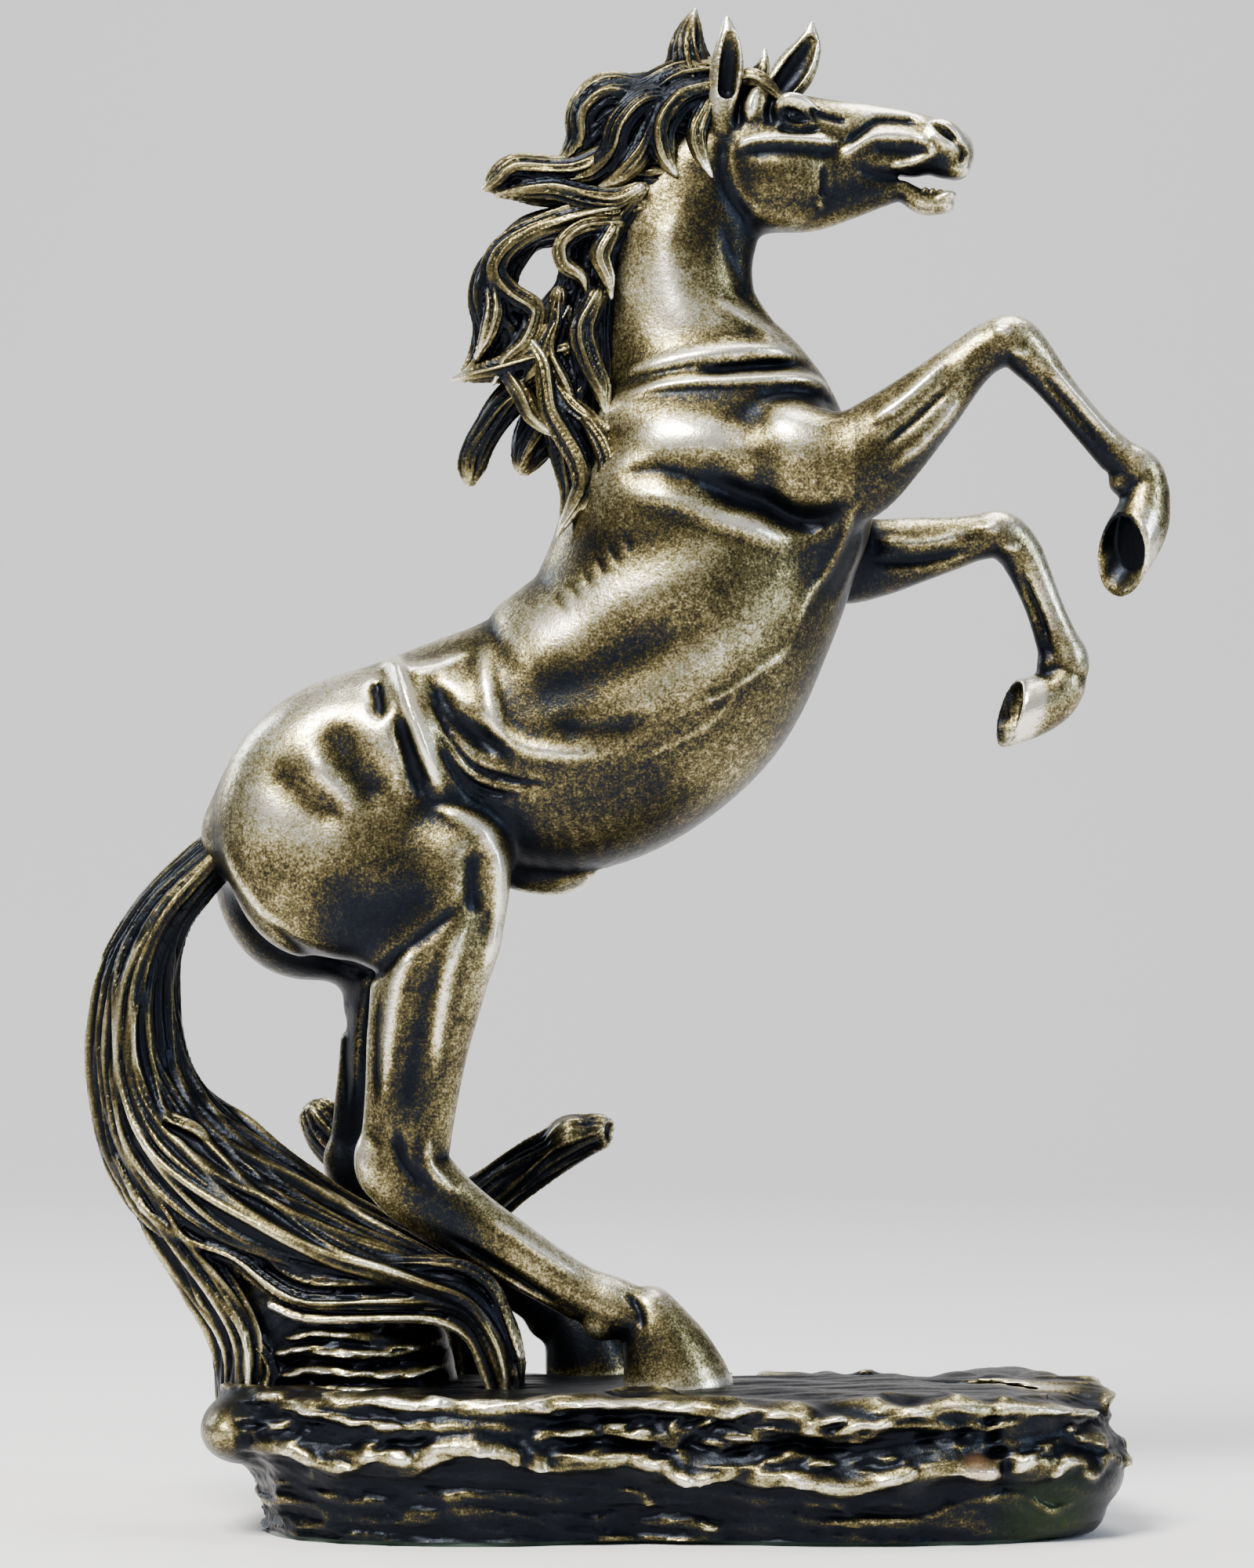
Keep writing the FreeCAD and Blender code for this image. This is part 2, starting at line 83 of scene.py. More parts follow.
def smooth_path(stations, spans=5):
    """A Catmull-Rom curve through rows of numbers, each span cut into equal steps."""
    rows = np.array(stations, dtype=np.float64)
    rows = np.vstack([2 * rows[0] - rows[1], rows, 2 * rows[-1] - rows[-2]])
    steps = np.arange(spans)[:, None] / spans
    curve = []
    for a, b, c, d in zip(rows, rows[1:], rows[2:], rows[3:]):
        slope, bend, twist = (c - a) / 2, a - 2.5 * b + 2 * c - 0.5 * d, (d - a) / 2 + 1.5 * (b - c)
        curve.append(b + steps * slope + steps**2 * bend + steps**3 * twist)
    return np.vstack(curve + [rows[-2:-1]])


def melted(first, second, softness):
    """The smaller of two distances, rounded where they are within softness of each other."""
    low = np.minimum(first, second)
    if softness <= 0:
        return low
    near = np.maximum(softness - np.abs(first - second), 0) / softness
    return low - near * near * (softness / 4)


def ramp_up(values, start, end):
    """0 up to one value and 1 beyond another, with a slope between them."""
    return np.clip((values - start) / (end - start), 0, 1)


class Clay:
    """A block of signed distances, negative inside the sculpture."""

    def __init__(self, low, high, step):
        self.low = np.array(low, dtype=np.float64)
        self.step = step
        self.count = np.ceil((np.array(high) - self.low) / step).astype(int) + 1
        self.axes = []
        for i in range(3):
            places = self.low[i] + step * np.arange(self.count[i])
            self.axes.append(places.astype(np.float32).reshape(np.roll([-1, 1, 1], i)))
        self.field = np.full(self.count, EMPTY, dtype=np.float32)

    def window(self, low, high):
        """The slices of the block between two corners, or None where they miss it."""
        first = np.clip(np.floor((np.array(low) - self.low) / self.step).astype(int), 0, self.count)
        last = np.clip(np.ceil((np.array(high) - self.low) / self.step).astype(int) + 1, 0, self.count)
        if (last <= first).any():
            return None
        return tuple(slice(a, b) for a, b in zip(first, last))

    def places(self, window):
        x, y, z = self.axes
        return x[window[0]], y[:, window[1]], z[:, :, window[2]]

    def piece(self, low, high):
        """An empty block over part of this one, to shape something apart before merging, and its window."""
        window = self.window(low, high)
        if window is None:
            return None, None
        block = Clay(self.low, self.low, self.step)
        block.low = self.low + self.step * np.array([part.start for part in window])
        block.axes = self.places(window)
        block.count = np.array([part.stop - part.start for part in window])
        block.field = np.full(block.count, EMPTY, dtype=np.float32)
        return block, window

    def merge(self, window, distance, blend, carve=False):
        """Add a shape to the block, or take it away, with a rounded edge where the surfaces meet."""
        if carve:
            self.field[window] = -melted(-self.field[window], distance, blend)
        else:
            self.field[window] = melted(self.field[window], distance, blend)

    def tube(self, stations, blend=0.0, carve=False, roll=(0.0, 0.0), strands=None, spans=4, power=2.0):
        """A tube through (x, y, z, half depth, half width), blended in or carved out.

        Its section is an ellipse for a power of 2, and grows sharper edges as the power falls towards 1.
        It turns from the first roll to the second, in degrees. strands is the number of hair-like strands
        along it and where their wandering starts.
        """
        path = smooth_path(stations, spans)
        path[:, 3:] = np.maximum(path[:, 3:], THINNEST)
        reach = blend + MARGIN_CELLS * self.step
        radii = path[:, 3:5].max(axis=1, keepdims=True)
        low, high = (path[:, :3] - radii).min(axis=0), (path[:, :3] + radii).max(axis=0)
        window = self.window(low - reach, high + reach)
        if window is None:
            return
        start = np.array([part.start for part in window])
        distance = np.full([part.stop - part.start for part in window], EMPTY, dtype=np.float32)
        lengths = np.linalg.norm(np.diff(path[:, :3], axis=0), axis=1)
        run = np.concatenate([[0.0], np.cumsum(lengths)])
        for i in range(len(path) - 1):
            a, b = path[i], path[i + 1]
            wide = max(radii[i, 0], radii[i + 1, 0]) + reach
            part = self.window(np.minimum(a[:3], b[:3]) - wide, np.maximum(a[:3], b[:3]) + wide)
            if part is None or lengths[i] < SHORTEST:
                continue
            part = tuple(slice(max(p.start, w.start), min(p.stop, w.stop)) for p, w in zip(part, window))
            tangent = (b[:3] - a[:3]) / lengths[i]
            turn = math.radians(roll[0] + (roll[1] - roll[0]) * run[i] / run[-1])
            side, across = beside_tangent(tangent, turn)
            x, y, z = self.places(part)
            x, y, z = x - np.float32(a[0]), y - np.float32(a[1]), z - np.float32(a[2])
            along = (x * tangent[0] + y * tangent[1] + z * tangent[2]).astype(np.float32)
            t = np.clip(along / lengths[i], 0, 1)
            u = (x * across[0] + y * across[1] + z * across[2]).astype(np.float32)
            v = (x * side[0] + y * side[1] + z * side[2]).astype(np.float32)
            # how far each cell lies beyond an end, measured in the rounding of that end
            over = along - t * np.float32(lengths[i])
            depth = a[3] + (b[3] - a[3]) * t
            width = a[4] + (b[4] - a[4]) * t
            small = np.minimum(depth, width)
            u, v = u / depth, v / width
            before = small if i == 0 else np.minimum(small, JOINT_ROUNDING)
            after = small if i == len(path) - 2 else np.minimum(small, JOINT_ROUNDING)
            over = over / np.where(over < 0, before, after)
            if power == 2.0:
                section = u * u + v * v
            else:
                section = (np.abs(u) ** power + np.abs(v) ** power) ** (2 / power)
            gap = (np.sqrt(section + over * over) - 1) * small
            if strands:
                gap += strand_grooves(strands, np.arctan2(v, u), run[i] + t * lengths[i], small)
            inner = tuple(slice(p.start - s, p.stop - s) for p, s in zip(part, start))
            distance[inner] = np.minimum(distance[inner], gap)
        self.merge(window, distance, blend, carve)

    def blob(self, centre, radii, tilt=0.0, yaw=0.0, blend=4.0, carve=False):
        """An ellipsoid. Tilt turns it in the side view, anticlockwise, and yaw turns it in the top view."""
        centre, radii = np.array(centre, dtype=float), np.array(radii, dtype=float)
        reach = radii.max() + blend + MARGIN_CELLS * self.step
        window = self.window(centre - reach, centre + reach)
        if window is None:
            return
        c, s = math.cos(math.radians(tilt)), math.sin(math.radians(tilt))
        cy, sy = math.cos(math.radians(yaw)), math.sin(math.radians(yaw))
        x, y, z = self.places(window)
        x, y, z = x - np.float32(centre[0]), y - np.float32(centre[1]), z - np.float32(centre[2])
        x, y = x * cy + y * sy, y * cy - x * sy
        p = ((x * c + z * s) / radii[0]).astype(np.float32)
        q = (y / radii[1]).astype(np.float32)
        r = ((z * c - x * s) / radii[2]).astype(np.float32)
        near = np.sqrt(p * p + q * q + r * r)
        slope = np.sqrt((p / radii[0]) ** 2 + (q / radii[1]) ** 2 + (r / radii[2]) ** 2) + 1e-6
        self.merge(window, (near * (near - 1) / slope).astype(np.float32), blend, carve)

    def emboss(self, relief, side=0, bare=0.0):
        """Raise the surface by a side-view relief, on one side of the middle or on both.

        A bare strip this far each way from the middle keeps the strokes from meeting over the back.
        """
        lift = relief.height[:, None, :]
        if side:
            lift = lift * np.clip(0.5 + side * self.axes[1] / SIDE_FADE, 0, 1)
        if bare:
            lift = lift * ramp_up(np.abs(self.axes[1]), bare, bare + SIDE_FADE)
        self.field -= lift

    def soften(self, radius):
        """A coarser field, averaged over cubes of this half size, to tell crests from hollows."""
        coarse = np.clip(self.field[::COARSER, ::COARSER, ::COARSER], -radius, radius)
        reach = max(1, round(radius / (COARSER * self.step)))
        for axis in (0, 1, 2):
            for _ in range(2):
                coarse = box_mean(coarse, reach, axis)
        return coarse

    def read(self, grid, points, step):
        """Values of a grid at points, weighted from its eight nearest cells."""
        places = np.clip((points - self.low) / step, 0, np.array(grid.shape) - 1.001)
        cell = places.astype(int)
        share = places - cell
        total = np.zeros(len(points))
        for corner in range(8):
            offset = np.array([(corner >> i) & 1 for i in range(3)])
            weight = np.prod(np.where(offset, share, 1 - share), axis=1)
            total += weight * grid[tuple((cell + offset).T)]
        return total


def beside_tangent(tangent, turn):
    """Two directions square to a tangent and to each other, turned round it from the sideways one."""
    side = np.array([0.0, 1.0, 0.0]) - tangent * tangent[1]
    side /= np.linalg.norm(side)
    across = np.cross(tangent, side)
    c, s = math.cos(turn), math.sin(turn)
    return side * c + across * s, across * c - side * s


def strand_grooves(strands, angle, travel, small):
    """How deep the grooves between a tube's strands are, at each angle round it and each distance along it.

    The strands wander in two slow waves, with finer grooves between the main ones.
    """
    number, seed = strands
    travel = travel / 10
    angle = angle * (number / 2)
    shift = STRAND_WANDER * (np.sin(travel * 1.3 + seed) + 0.6 * np.sin(travel * 3.1 + 2 * seed))
    crest = np.abs(np.sin(angle + shift + seed))
    finer = np.abs(np.sin(angle * 2.5 - 0.7 * shift + 3 * seed))
    return STRAND_CUT * np.minimum(small * 0.5, 1) * ((1 - crest) ** 2 + 0.45 * (1 - finer) ** 2)


def box_mean(values, reach, axis):
    """A running mean over 2 * reach + 1 cells along one axis."""
    pad = [(0, 0)] * 3
    pad[axis] = (reach + 1, reach)
    total = np.cumsum(np.pad(values, pad, mode="edge"), axis=axis, dtype=np.float64)
    width = 2 * reach + 1
    head = [slice(None)] * 3
    tail = [slice(None)] * 3
    head[axis], tail[axis] = slice(width, None), slice(0, -width)
    return ((total[tuple(head)] - total[tuple(tail)]) / width).astype(np.float32)


class Relief:
    """A height map in the side view, painted with strokes, for a block of clay."""

    def __init__(self, clay):
        self.clay = clay
        self.height = np.zeros((clay.count[0], clay.count[2]), dtype=np.float32)

    def stroke(self, points, width, height, fade=0.3):
        """A ridge, or with a negative height a groove, along (x, z) points.

        It narrows and fades out over this share of its length at each end.
        """
        path = smooth_path(points, 6)
        best = np.zeros_like(self.height)
        x, z = self.clay.axes[0][:, :, 0], self.clay.axes[2][0]
        any_y = self.clay.low[1]
        last = len(path) - 1
        for i in range(last):
            a, b = path[i], path[i + 1]
            reach = STROKE_REACH * width
            low, high = np.minimum(a, b) - reach, np.maximum(a, b) + reach
            window = self.clay.window((low[0], any_y, low[1]), (high[0], any_y, high[1]))
            if window is None:
                continue
            window = (window[0], window[2])
            px, pz = x[window[0]] - a[0], z[:, window[1]] - a[1]
            way = b - a
            t = np.clip((px * way[0] + pz * way[1]) / (way @ way + 1e-9), 0, 1)
            gap = (px - t * way[0]) ** 2 + (pz - t * way[1]) ** 2
            place = (i + t) / last
            strength = np.clip(np.minimum(place, 1 - place) / fade, 0, 1)
            strength = strength * strength * (3 - 2 * strength)
            spread = width * (0.55 + 0.45 * strength)
            best[window] = np.maximum(best[window], strength * np.exp(-gap / spread**2))
        self.height += height * best

    def paint(self, strokes, fade=0.3):
        """Strokes of (points, width, height), one after another."""
        for points, width, height in strokes:
            self.stroke(points, width, height, fade)

    def break_up(self, lengths, seed, faintest=0.1, strongest=1.4):
        """Let the strokes painted so far come and go, as grain does along a weathered edge."""
        x, y, z = self.clay.axes
        waves = ripple(x, 0 * y[:, :1], z, lengths, seed)[:, 0]
        self.height *= np.clip(0.75 + 0.85 * waves, faintest, strongest)

    def at(self, points):
        """The map's values under each of the points."""
        cells = np.rint((points - self.clay.low) / self.clay.step).astype(int)
        cells = np.clip(cells, 0, self.clay.count - 1)
        return self.height[cells[:, 0], cells[:, 2]]


def ripple(x, y, z, lengths, seed):
    """Smooth irregular waves between -1 and 1, whose length along each axis is about the one given."""
    draw = np.random.default_rng(seed)
    total = 0
    for _ in range(RIPPLE_WAVES):
        way = 2 * math.pi * draw.normal(size=3) / np.array(lengths)
        phase = draw.uniform(0, 2 * math.pi)
        total = total + np.sin((x * way[0] + y * way[1] + z * way[2] + phase).astype(np.float32))
    # the waves seldom agree, so about half of their sum already counts as 1
    return np.clip(total / (0.55 * RIPPLE_WAVES), -1, 1)


# ================================================================ from clay to mesh
# Crumbs of fewer vertices than this are removed
SMALLEST_ISLAND = 400
# The two sizes of feature that wear is measured at, and how soon it counts as full
WEAR_SCALES = {"crest": 1.4, "swell": 6.0}
WEAR_CONTRAST = 1.8
# Painted highlights and painted shade, and a few other places, where the patina is rubbed paler or left
# darker than its shape tells: points, width and how much
PAINTED_LIGHT_AND_SHADE = [
    # painted highlights on the neck, paler behind than at the throat, which has painted shade, and on the
    # shoulder
    ([(5, 326), (9, 310), (10, 296)], 8, 0.4),
    ([(17, 324), (20, 310), (28, 302)], 6, 0.2),
    ([(27, 338), (31, 324), (37, 310)], 5, -0.22),
    ([(-4, 290), (10, 293), (30, 295), (44, 295)], 4, 0.2),
    ([(-6, 272), (12, 277), (34, 277)], 6, 0.3),
    # painted highlights on the barrel above and towards the chest, and painted shade along its middle
    ([(-4, 208), (18, 219), (36, 232), (52, 250)], 9, 0.3),
    ([(-34, 222), (-10, 236), (16, 249), (40, 258)], 7, 0.24),
    ([(-30, 208), (-8, 218), (20, 232)], 5, -0.08),
    ([(-30, 183), (-6, 183), (14, 194)], 6, -0.1),
    # painted highlights on the haunch above and behind, and painted shade towards the crease of the thigh
    ([(-96, 184), (-84, 180), (-68, 174)], 10, 0.28),
    ([(-84, 206), (-66, 214), (-52, 214)], 6, 0.12),
    ([(-80, 152), (-64, 152), (-50, 162)], 9, -0.15),
    ([(-50, 130), (-53, 118), (-54, 106)], 5, -0.15),
    # painted shade on the hocks and the undersides of the cannons and forearms, and a painted highlight along
    # the near forearm
    ([(-58, 100), (-52, 86), (-34, 75)], 6, -0.28),
    ([(-52, 78), (-32, 64), (-12, 53)], 5, -0.4),
    ([(-62, 75), (-42, 61), (-24, 51)], 5, -0.34),
    ([(92, 297), (109, 280), (128, 263)], 3.6, -0.85),
    ([(93, 251), (102, 233), (110, 212)], 3.2, -0.85),
    ([(58, 270), (72, 281), (88, 294)], 5, 0.25),
    # painted shade in the soles of the raised hooves
    ([(121, 264), (123.6, 248), (125, 231)], 6.4, -1.1),
    ([(101, 222), (97.6, 208), (94, 194)], 3.2, -1.1),
    # painted shade under the jaw and muzzle, in the mouth and about the eye, a painted highlight along the
    # nose, and the ears darker
    ([(30, 337), (50, 336), (68, 340), (80, 338), (92, 336)], 3.6, -0.42),
    ([(70, 343), (79, 344), (90, 350)], 4, -0.3),
    ([(36, 358.4), (49, 358.4)], 2.4, -0.5),
    ([(52, 361.6), (66, 360.4), (76, 357.8)], 3, 0.12),
    ([(24.4, 350), (25, 366), (25.4, 390)], 4, -0.3),
    ([(34, 358), (42, 370), (50, 390)], 5, -0.35),
    # the outer curve of the tail, made paler
    ([(-118, 158), (-130, 134), (-132, 112), (-122, 92), (-108, 76)], 7, 0.3),
]


def in_scene(name, data):
    """A new object of this data, in the scene."""
    thing = bpy.data.objects.new(name, data)
    bpy.context.scene.collection.objects.link(thing)
    return thing


def surface(clay, name):
    """The clay's surface as a mesh of quads."""
    skin = SKIN_CELLS * clay.step
    grid = openvdb.FloatGrid(skin)
    grid.copyFromArray(np.clip(clay.field, -skin, skin))
    points, quads = grid.convertToQuads(0.0)
    points = points.astype(np.float64) * clay.step + clay.low
    mesh = bpy.data.meshes.new(name)
    mesh.vertices.add(len(points))
    mesh.vertices.foreach_set("co", points.ravel())
    mesh.loops.add(quads.size)
    mesh.loops.foreach_set("vertex_index", quads[:, ::-1].astype(np.int32).ravel())
    mesh.polygons.add(len(quads))
    mesh.polygons.foreach_set("loop_start", np.arange(0, quads.size, 4, dtype=np.int32))
    mesh.update(calc_edges=True)
    return mesh


def pressed(clay, name, nodes, material, keep=(), drop=()):
    """Make the clay's surface a piece, which lies in the region keep and outside the regions in drop."""
    mesh = surface(clay, name)
    cut_to(mesh, keep, drop)
    add_wear_and_painted_light(mesh, clay)
    mesh.transform(((MM, 0, 0, 0), (0, MM, 0, 0), (0, 0, MM, 0), (0, 0, 0, 1)))
    mesh.update()
    mesh.materials.append(material)
    piece = in_scene(name, mesh)
    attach(piece, "root")
    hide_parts(*nodes)


def inside(face, region):
    """Whether the middle of a face lies in a region: behind every one of its planes of (point, way out)."""
    middle = face.calc_center_median()
    return all((middle - Vector(point)).dot(Vector(way)) < 0 for point, way in region)


def cut_to(mesh, keep, drop):
    """Cut the mesh along its regions' planes, then close each cut with a flat, sharp-edged cap."""
    shape = bmesh.new()
    shape.from_mesh(mesh)
    regions = [keep] if keep else []
    regions += drop
    for point, way in [plane for region in regions for plane in region]:
        everything = shape.verts[:] + shape.edges[:] + shape.faces[:]
        bmesh.ops.bisect_plane(shape, geom=everything, plane_co=point, plane_no=way, dist=1e-5)
    if regions:
        unwanted = [
            face
            for face in shape.faces
            if (keep and not inside(face, keep)) or any(inside(face, region) for region in drop)
        ]
        bmesh.ops.delete(shape, geom=unwanted, context="FACES")
    islands = loose_parts(shape)
    largest = max(islands, key=len)
    for island in islands:
        if island is not largest and len(island) < SMALLEST_ISLAND:
            bmesh.ops.delete(shape, geom=island, context="VERTS")
    for face in shape.faces:
        face.smooth = True
    rims = [edge for edge in shape.edges if edge.is_boundary]
    if rims:
        for cap in bmesh.ops.holes_fill(shape, edges=rims, sides=0)["faces"]:
            cap.smooth = False
            for edge in cap.edges:
                edge.smooth = False
    bmesh.ops.recalc_face_normals(shape, faces=shape.faces[:])
    shape.to_mesh(mesh)
    shape.free()


def loose_parts(shape):
    """The mesh's vertices, grouped by what hangs together."""
    parts, seen = [], set()
    for seed in shape.verts:
        if seed in seen:
            continue
        seen.add(seed)
        group, waiting = [], [seed]
        while waiting:
            vertex = waiting.pop()
            group.append(vertex)
            for edge in vertex.link_edges:
                other = edge.other_vert(vertex)
                if other not in seen:
                    seen.add(other)
                    waiting.append(other)
        parts.append(group)
    return parts


def add_wear_and_painted_light(mesh, clay):
    """Store each point's painted highlights and painted shade, and how far it stands out, from -1 in a hollow
    to 1 on a crest.
    """
    points = np.empty(len(mesh.vertices) * 3)
    mesh.vertices.foreach_get("co", points)
    points = points.reshape(-1, 3)
    layers = {}
    for name, radius in WEAR_SCALES.items():
        around = clay.read(clay.soften(radius), points, COARSER * clay.step)
        layers[name] = np.tanh(WEAR_CONTRAST * around / radius)
    painted_shading = Relief(clay)
    painted_shading.paint(PAINTED_LIGHT_AND_SHADE)
    layers["painted_shading"] = painted_shading.at(points)
    for name, values in layers.items():
        layer = mesh.attributes.new(name, "FLOAT", "POINT")
        layer.data.foreach_set("value", values.astype(np.float32))


# ================================================================ the horse
# Stations are (x, y, z, half depth, half width). Strokes are (x, z) points in the side view, width, height.
BARREL = [
    (-98, 0, 174.6, 7, 9), (-94, 0, 176, 15, 16), (-85, 0, 179, 24, 24), (-66, 0, 188, 28.5, 26),
    (-43, 0, 197.5, 28.5, 25), (-17, 0, 202, 36.5, 29), (5, 0, 216.5, 38, 31), (15.5, 0, 235.5, 38, 30.5),
    (22.5, 0, 258, 38, 27), (23, 0, 273, 34.4, 23), (20.2, 0, 286, 29.8, 19.5), (16.8, 0, 297, 23.6, 16),
    (14, 0, 309, 19.6, 13), (13.8, 0, 321, 18.2, 11.4), (15.6, 0, 332, 18.3, 10.4), (21, 0, 344, 17, 9.5),
]
SHEATH = [
    (-34, 0, 172, 8, 7), (-26, 0, 168.4, 7, 6), (-19, 0, 166.6, 6, 5.6), (-14.4, 0, 166.4, 5, 5),
    (-12.4, 0, 167, 4.4, 4.4),
]
# Strokes on both flanks: points, width and height
TRUNK_STROKES = [
    # bands of skin where the neck turns up
    ([(-5, 291), (8, 295.5), (24, 298.4), (38, 299), (46, 296.5)], 2.3, 1.7),
    ([(16, 292.4), (30, 294), (45, 295.4)], 1.5, -1.8),
    ([(-3, 286.5), (10, 290), (28, 291.2), (46, 291.6), (54, 288)], 1.8, 1.5),
    ([(30, 285.6), (42, 287.6), (54, 285)], 1.8, -1.0),
    ([(20, 313), (32, 306), (41, 299.6)], 1.6, 0.7),
    ([(26, 316), (34, 309), (42, 302)], 1.1, -0.7),
    ([(24, 333), (26.4, 323), (31, 313), (38, 304)], 1.8, -0.7),
    ([(15, 338), (10, 326), (12, 312), (18, 304)], 4.5, 0.9),
    # the deep hollow under the shoulder, and the lit ridge below it
    ([(-4, 266), (8, 267.6), (18, 265)], 2.2, -0.9),
    ([(14, 266.6), (26, 262), (36, 258.6), (46, 255.4), (58, 260)], 3.4, -3.4),
    ([(-2, 261), (10, 260.6), (22, 256), (34, 252), (44, 246)], 2.6, 1.1),
    # the lit side of the ribs, the long hollow under it, the last rib and the belly's edge
    ([(-32, 222), (-6, 234), (36, 251)], 9, 1.0),
    ([(-28, 208), (-6, 216.6), (24, 231)], 8, -1.9),
    ([(-34, 228), (-36, 220), (-34.4, 210), (-32.6, 202.6), (-26, 198), (-14, 196), (2, 197)], 2.7, 1.5),
    ([(-20, 203.6), (-8, 202.6), (8, 206)], 3.2, -1.0),
    # the vein along the belly, with its branches
    ([(60, 262), (56.4, 256), (54, 249), (50.4, 242), (46.4, 237), (43.6, 231), (41.4, 225)], 0.8, 0.7),
    ([(43, 230), (40, 222), (34, 218), (27, 213), (20.4, 209.6), (8.6, 204.4)], 0.75, 0.6),
    ([(60, 256), (59, 249), (55.6, 240), (50, 229)], 0.8, 0.35),
    ([(30, 214.6), (22, 205), (10, 198), (-2, 193)], 0.7, 0.45),
    # the hip bone and the hollows and folds about it
    ([(-64, 217), (-60, 220), (-57, 216), (-53, 204), (-49, 193), (-45, 182)], 1.9, 2.7),
    ([(-60, 219.4), (-50, 218.6), (-38, 223)], 1.8, 1.0),
    ([(-63.4, 215), (-62.4, 210), (-62, 205)], 1.9, -2.0),
    ([(-50, 217), (-46, 208), (-38, 201), (-26, 196)], 3.4, -2.8),
    ([(-50, 212), (-46.7, 205), (-42, 197), (-36, 192), (-26, 189.4), (-14, 189)], 0.9, -1.5),
    ([(-49, 206), (-46, 199), (-41, 191), (-34, 187), (-22, 185.6)], 0.9, -1.4),
    ([(-48, 200), (-45, 194), (-40, 187.4), (-32, 182.6)], 0.9, -1.3),
    ([(-58, 208), (-54.4, 196), (-51, 184)], 2.6, -2.1),
    ([(-75, 205), (-69, 194), (-61, 185)], 5.6, -2.0),
    ([(-89, 193), (-81, 186), (-71, 180)], 5.4, -1.5),
    ([(-80, 198), (-74, 189), (-66, 181)], 2.6, 0.8),
    # the stifle, its dark slot, and the crease between thigh and shank
    ([(-50, 183), (-42, 181), (-35.6, 177), (-33, 170)], 2.2, 1.4),
    ([(-38.6, 174), (-38.8, 165), (-38.4, 155)], 2.5, -1.7),
    ([(-33.4, 177), (-31.4, 166), (-32.6, 152), (-36.6, 138)], 1.9, 1.6),
    ([(-98, 166), (-84, 149), (-66, 141), (-56, 147), (-46, 155), (-40, 161)], 1.7, -1.2),
    ([(-102, 178), (-99.6, 168), (-92, 157), (-80, 148)], 1.3, 0.8),
    ([(-78, 164), (-62, 158), (-46, 162)], 7, -0.8),
]


def sculpt_trunk(clay):
    clay.tube(BARREL, blend=4, spans=10)
    # the far haunch stands a little behind and below the near one, and so does all that hangs on it
    for side, dx, dz in ((NEAR_SIDE, 0, 0), (FAR_SIDE, -5, -6)):
        clay.blob((-74 + dx, side * 13, 193 + dz), (27, 16, 20), tilt=25, blend=10)
        clay.blob((-82 + dx, side * 15, 170 + dz), (19, 14, 25), tilt=12, blend=8)
        clay.blob((-60 + dx, side * 17, 166 + dz), (27, 13, 22), tilt=8, blend=8)
        clay.blob((-43 + dx, side * 19, 170 + dz), (13, 11, 13), tilt=35, blend=6)
        clay.blob((-50, side * 15, 200), (15, 12, 16), tilt=30, blend=10)
    for side in (NEAR_SIDE, FAR_SIDE):
        # the chest, the shoulder blade and the two round muscles of the shoulder
        clay.blob((8, side * 15, 262), (19, 12, 15), tilt=75, blend=9)
        clay.blob((19, side * 19, 274.4), (16, 9, 8.4), tilt=-8, blend=4)
        clay.blob((43, side * 19, 273.4), (13, 11, 11), tilt=-32, blend=3)
        clay.blob((48, side * 10, 262), (13, 12, 18), tilt=10, blend=8)
        clay.blob((21, side * 12.6, 283), (27, 8.6, 8), tilt=4, blend=7)
        clay.blob((31, side * 18, 271), (8, 9, 8.6), blend=5)
    # the sheath, open in front
    clay.tube(SHEATH, blend=4)
    clay.tube([(-15, 0, 166.6, 2.2, 2.2), (-8, 0, 167, 2.6, 2.6)], blend=1.2, carve=True)


def sculpt_trunk_relief(clay):
    relief = Relief(clay)
    relief.paint(TRUNK_STROKES)
    # the short creases of skin behind the shoulder
    for i in range(6):
        x, z = -17 + 3.4 * i, 234.6 + 3 * i
        relief.stroke([(x - 1, z + 2.6), (x + 1.4, z - 2.6)], 0.9, -0.38)
    clay.emboss(relief, bare=3.0)


SKULL = [
    (23, 0, 351, 12, 9), (33, 0, 350.6, 15.6, 10.6), (43, 0, 349.6, 15.2, 10.4), (52, 0, 349.6, 14, 8.6),
    (61, 0, 350.8, 12, 7.2), (70, 0, 352, 9.2, 6.2), (77, 0, 351.6, 7.4, 6.4), (82, 0, 350, 6.8, 6.6),
]
LOWER_JAW = [
    (34, 0, 338, 8, 8), (46, 0, 337.4, 7.6, 6.6), (56, 0, 338.6, 5.6, 5.2), (64, 0, 340, 4, 4.6),
    (70, 0, 340.4, 3, 4.4), (75.6, 0, 337.4, 3.2, 4.6), (81, 0, 337, 2.6, 4.4),
]
# The mouth is a slot between the parted lips
MOUTH = [(70, 0, 343.6, 0.5, 8), (78, 0, 341.6, 1.5, 8), (92, 0, 340.4, 2.3, 8)]
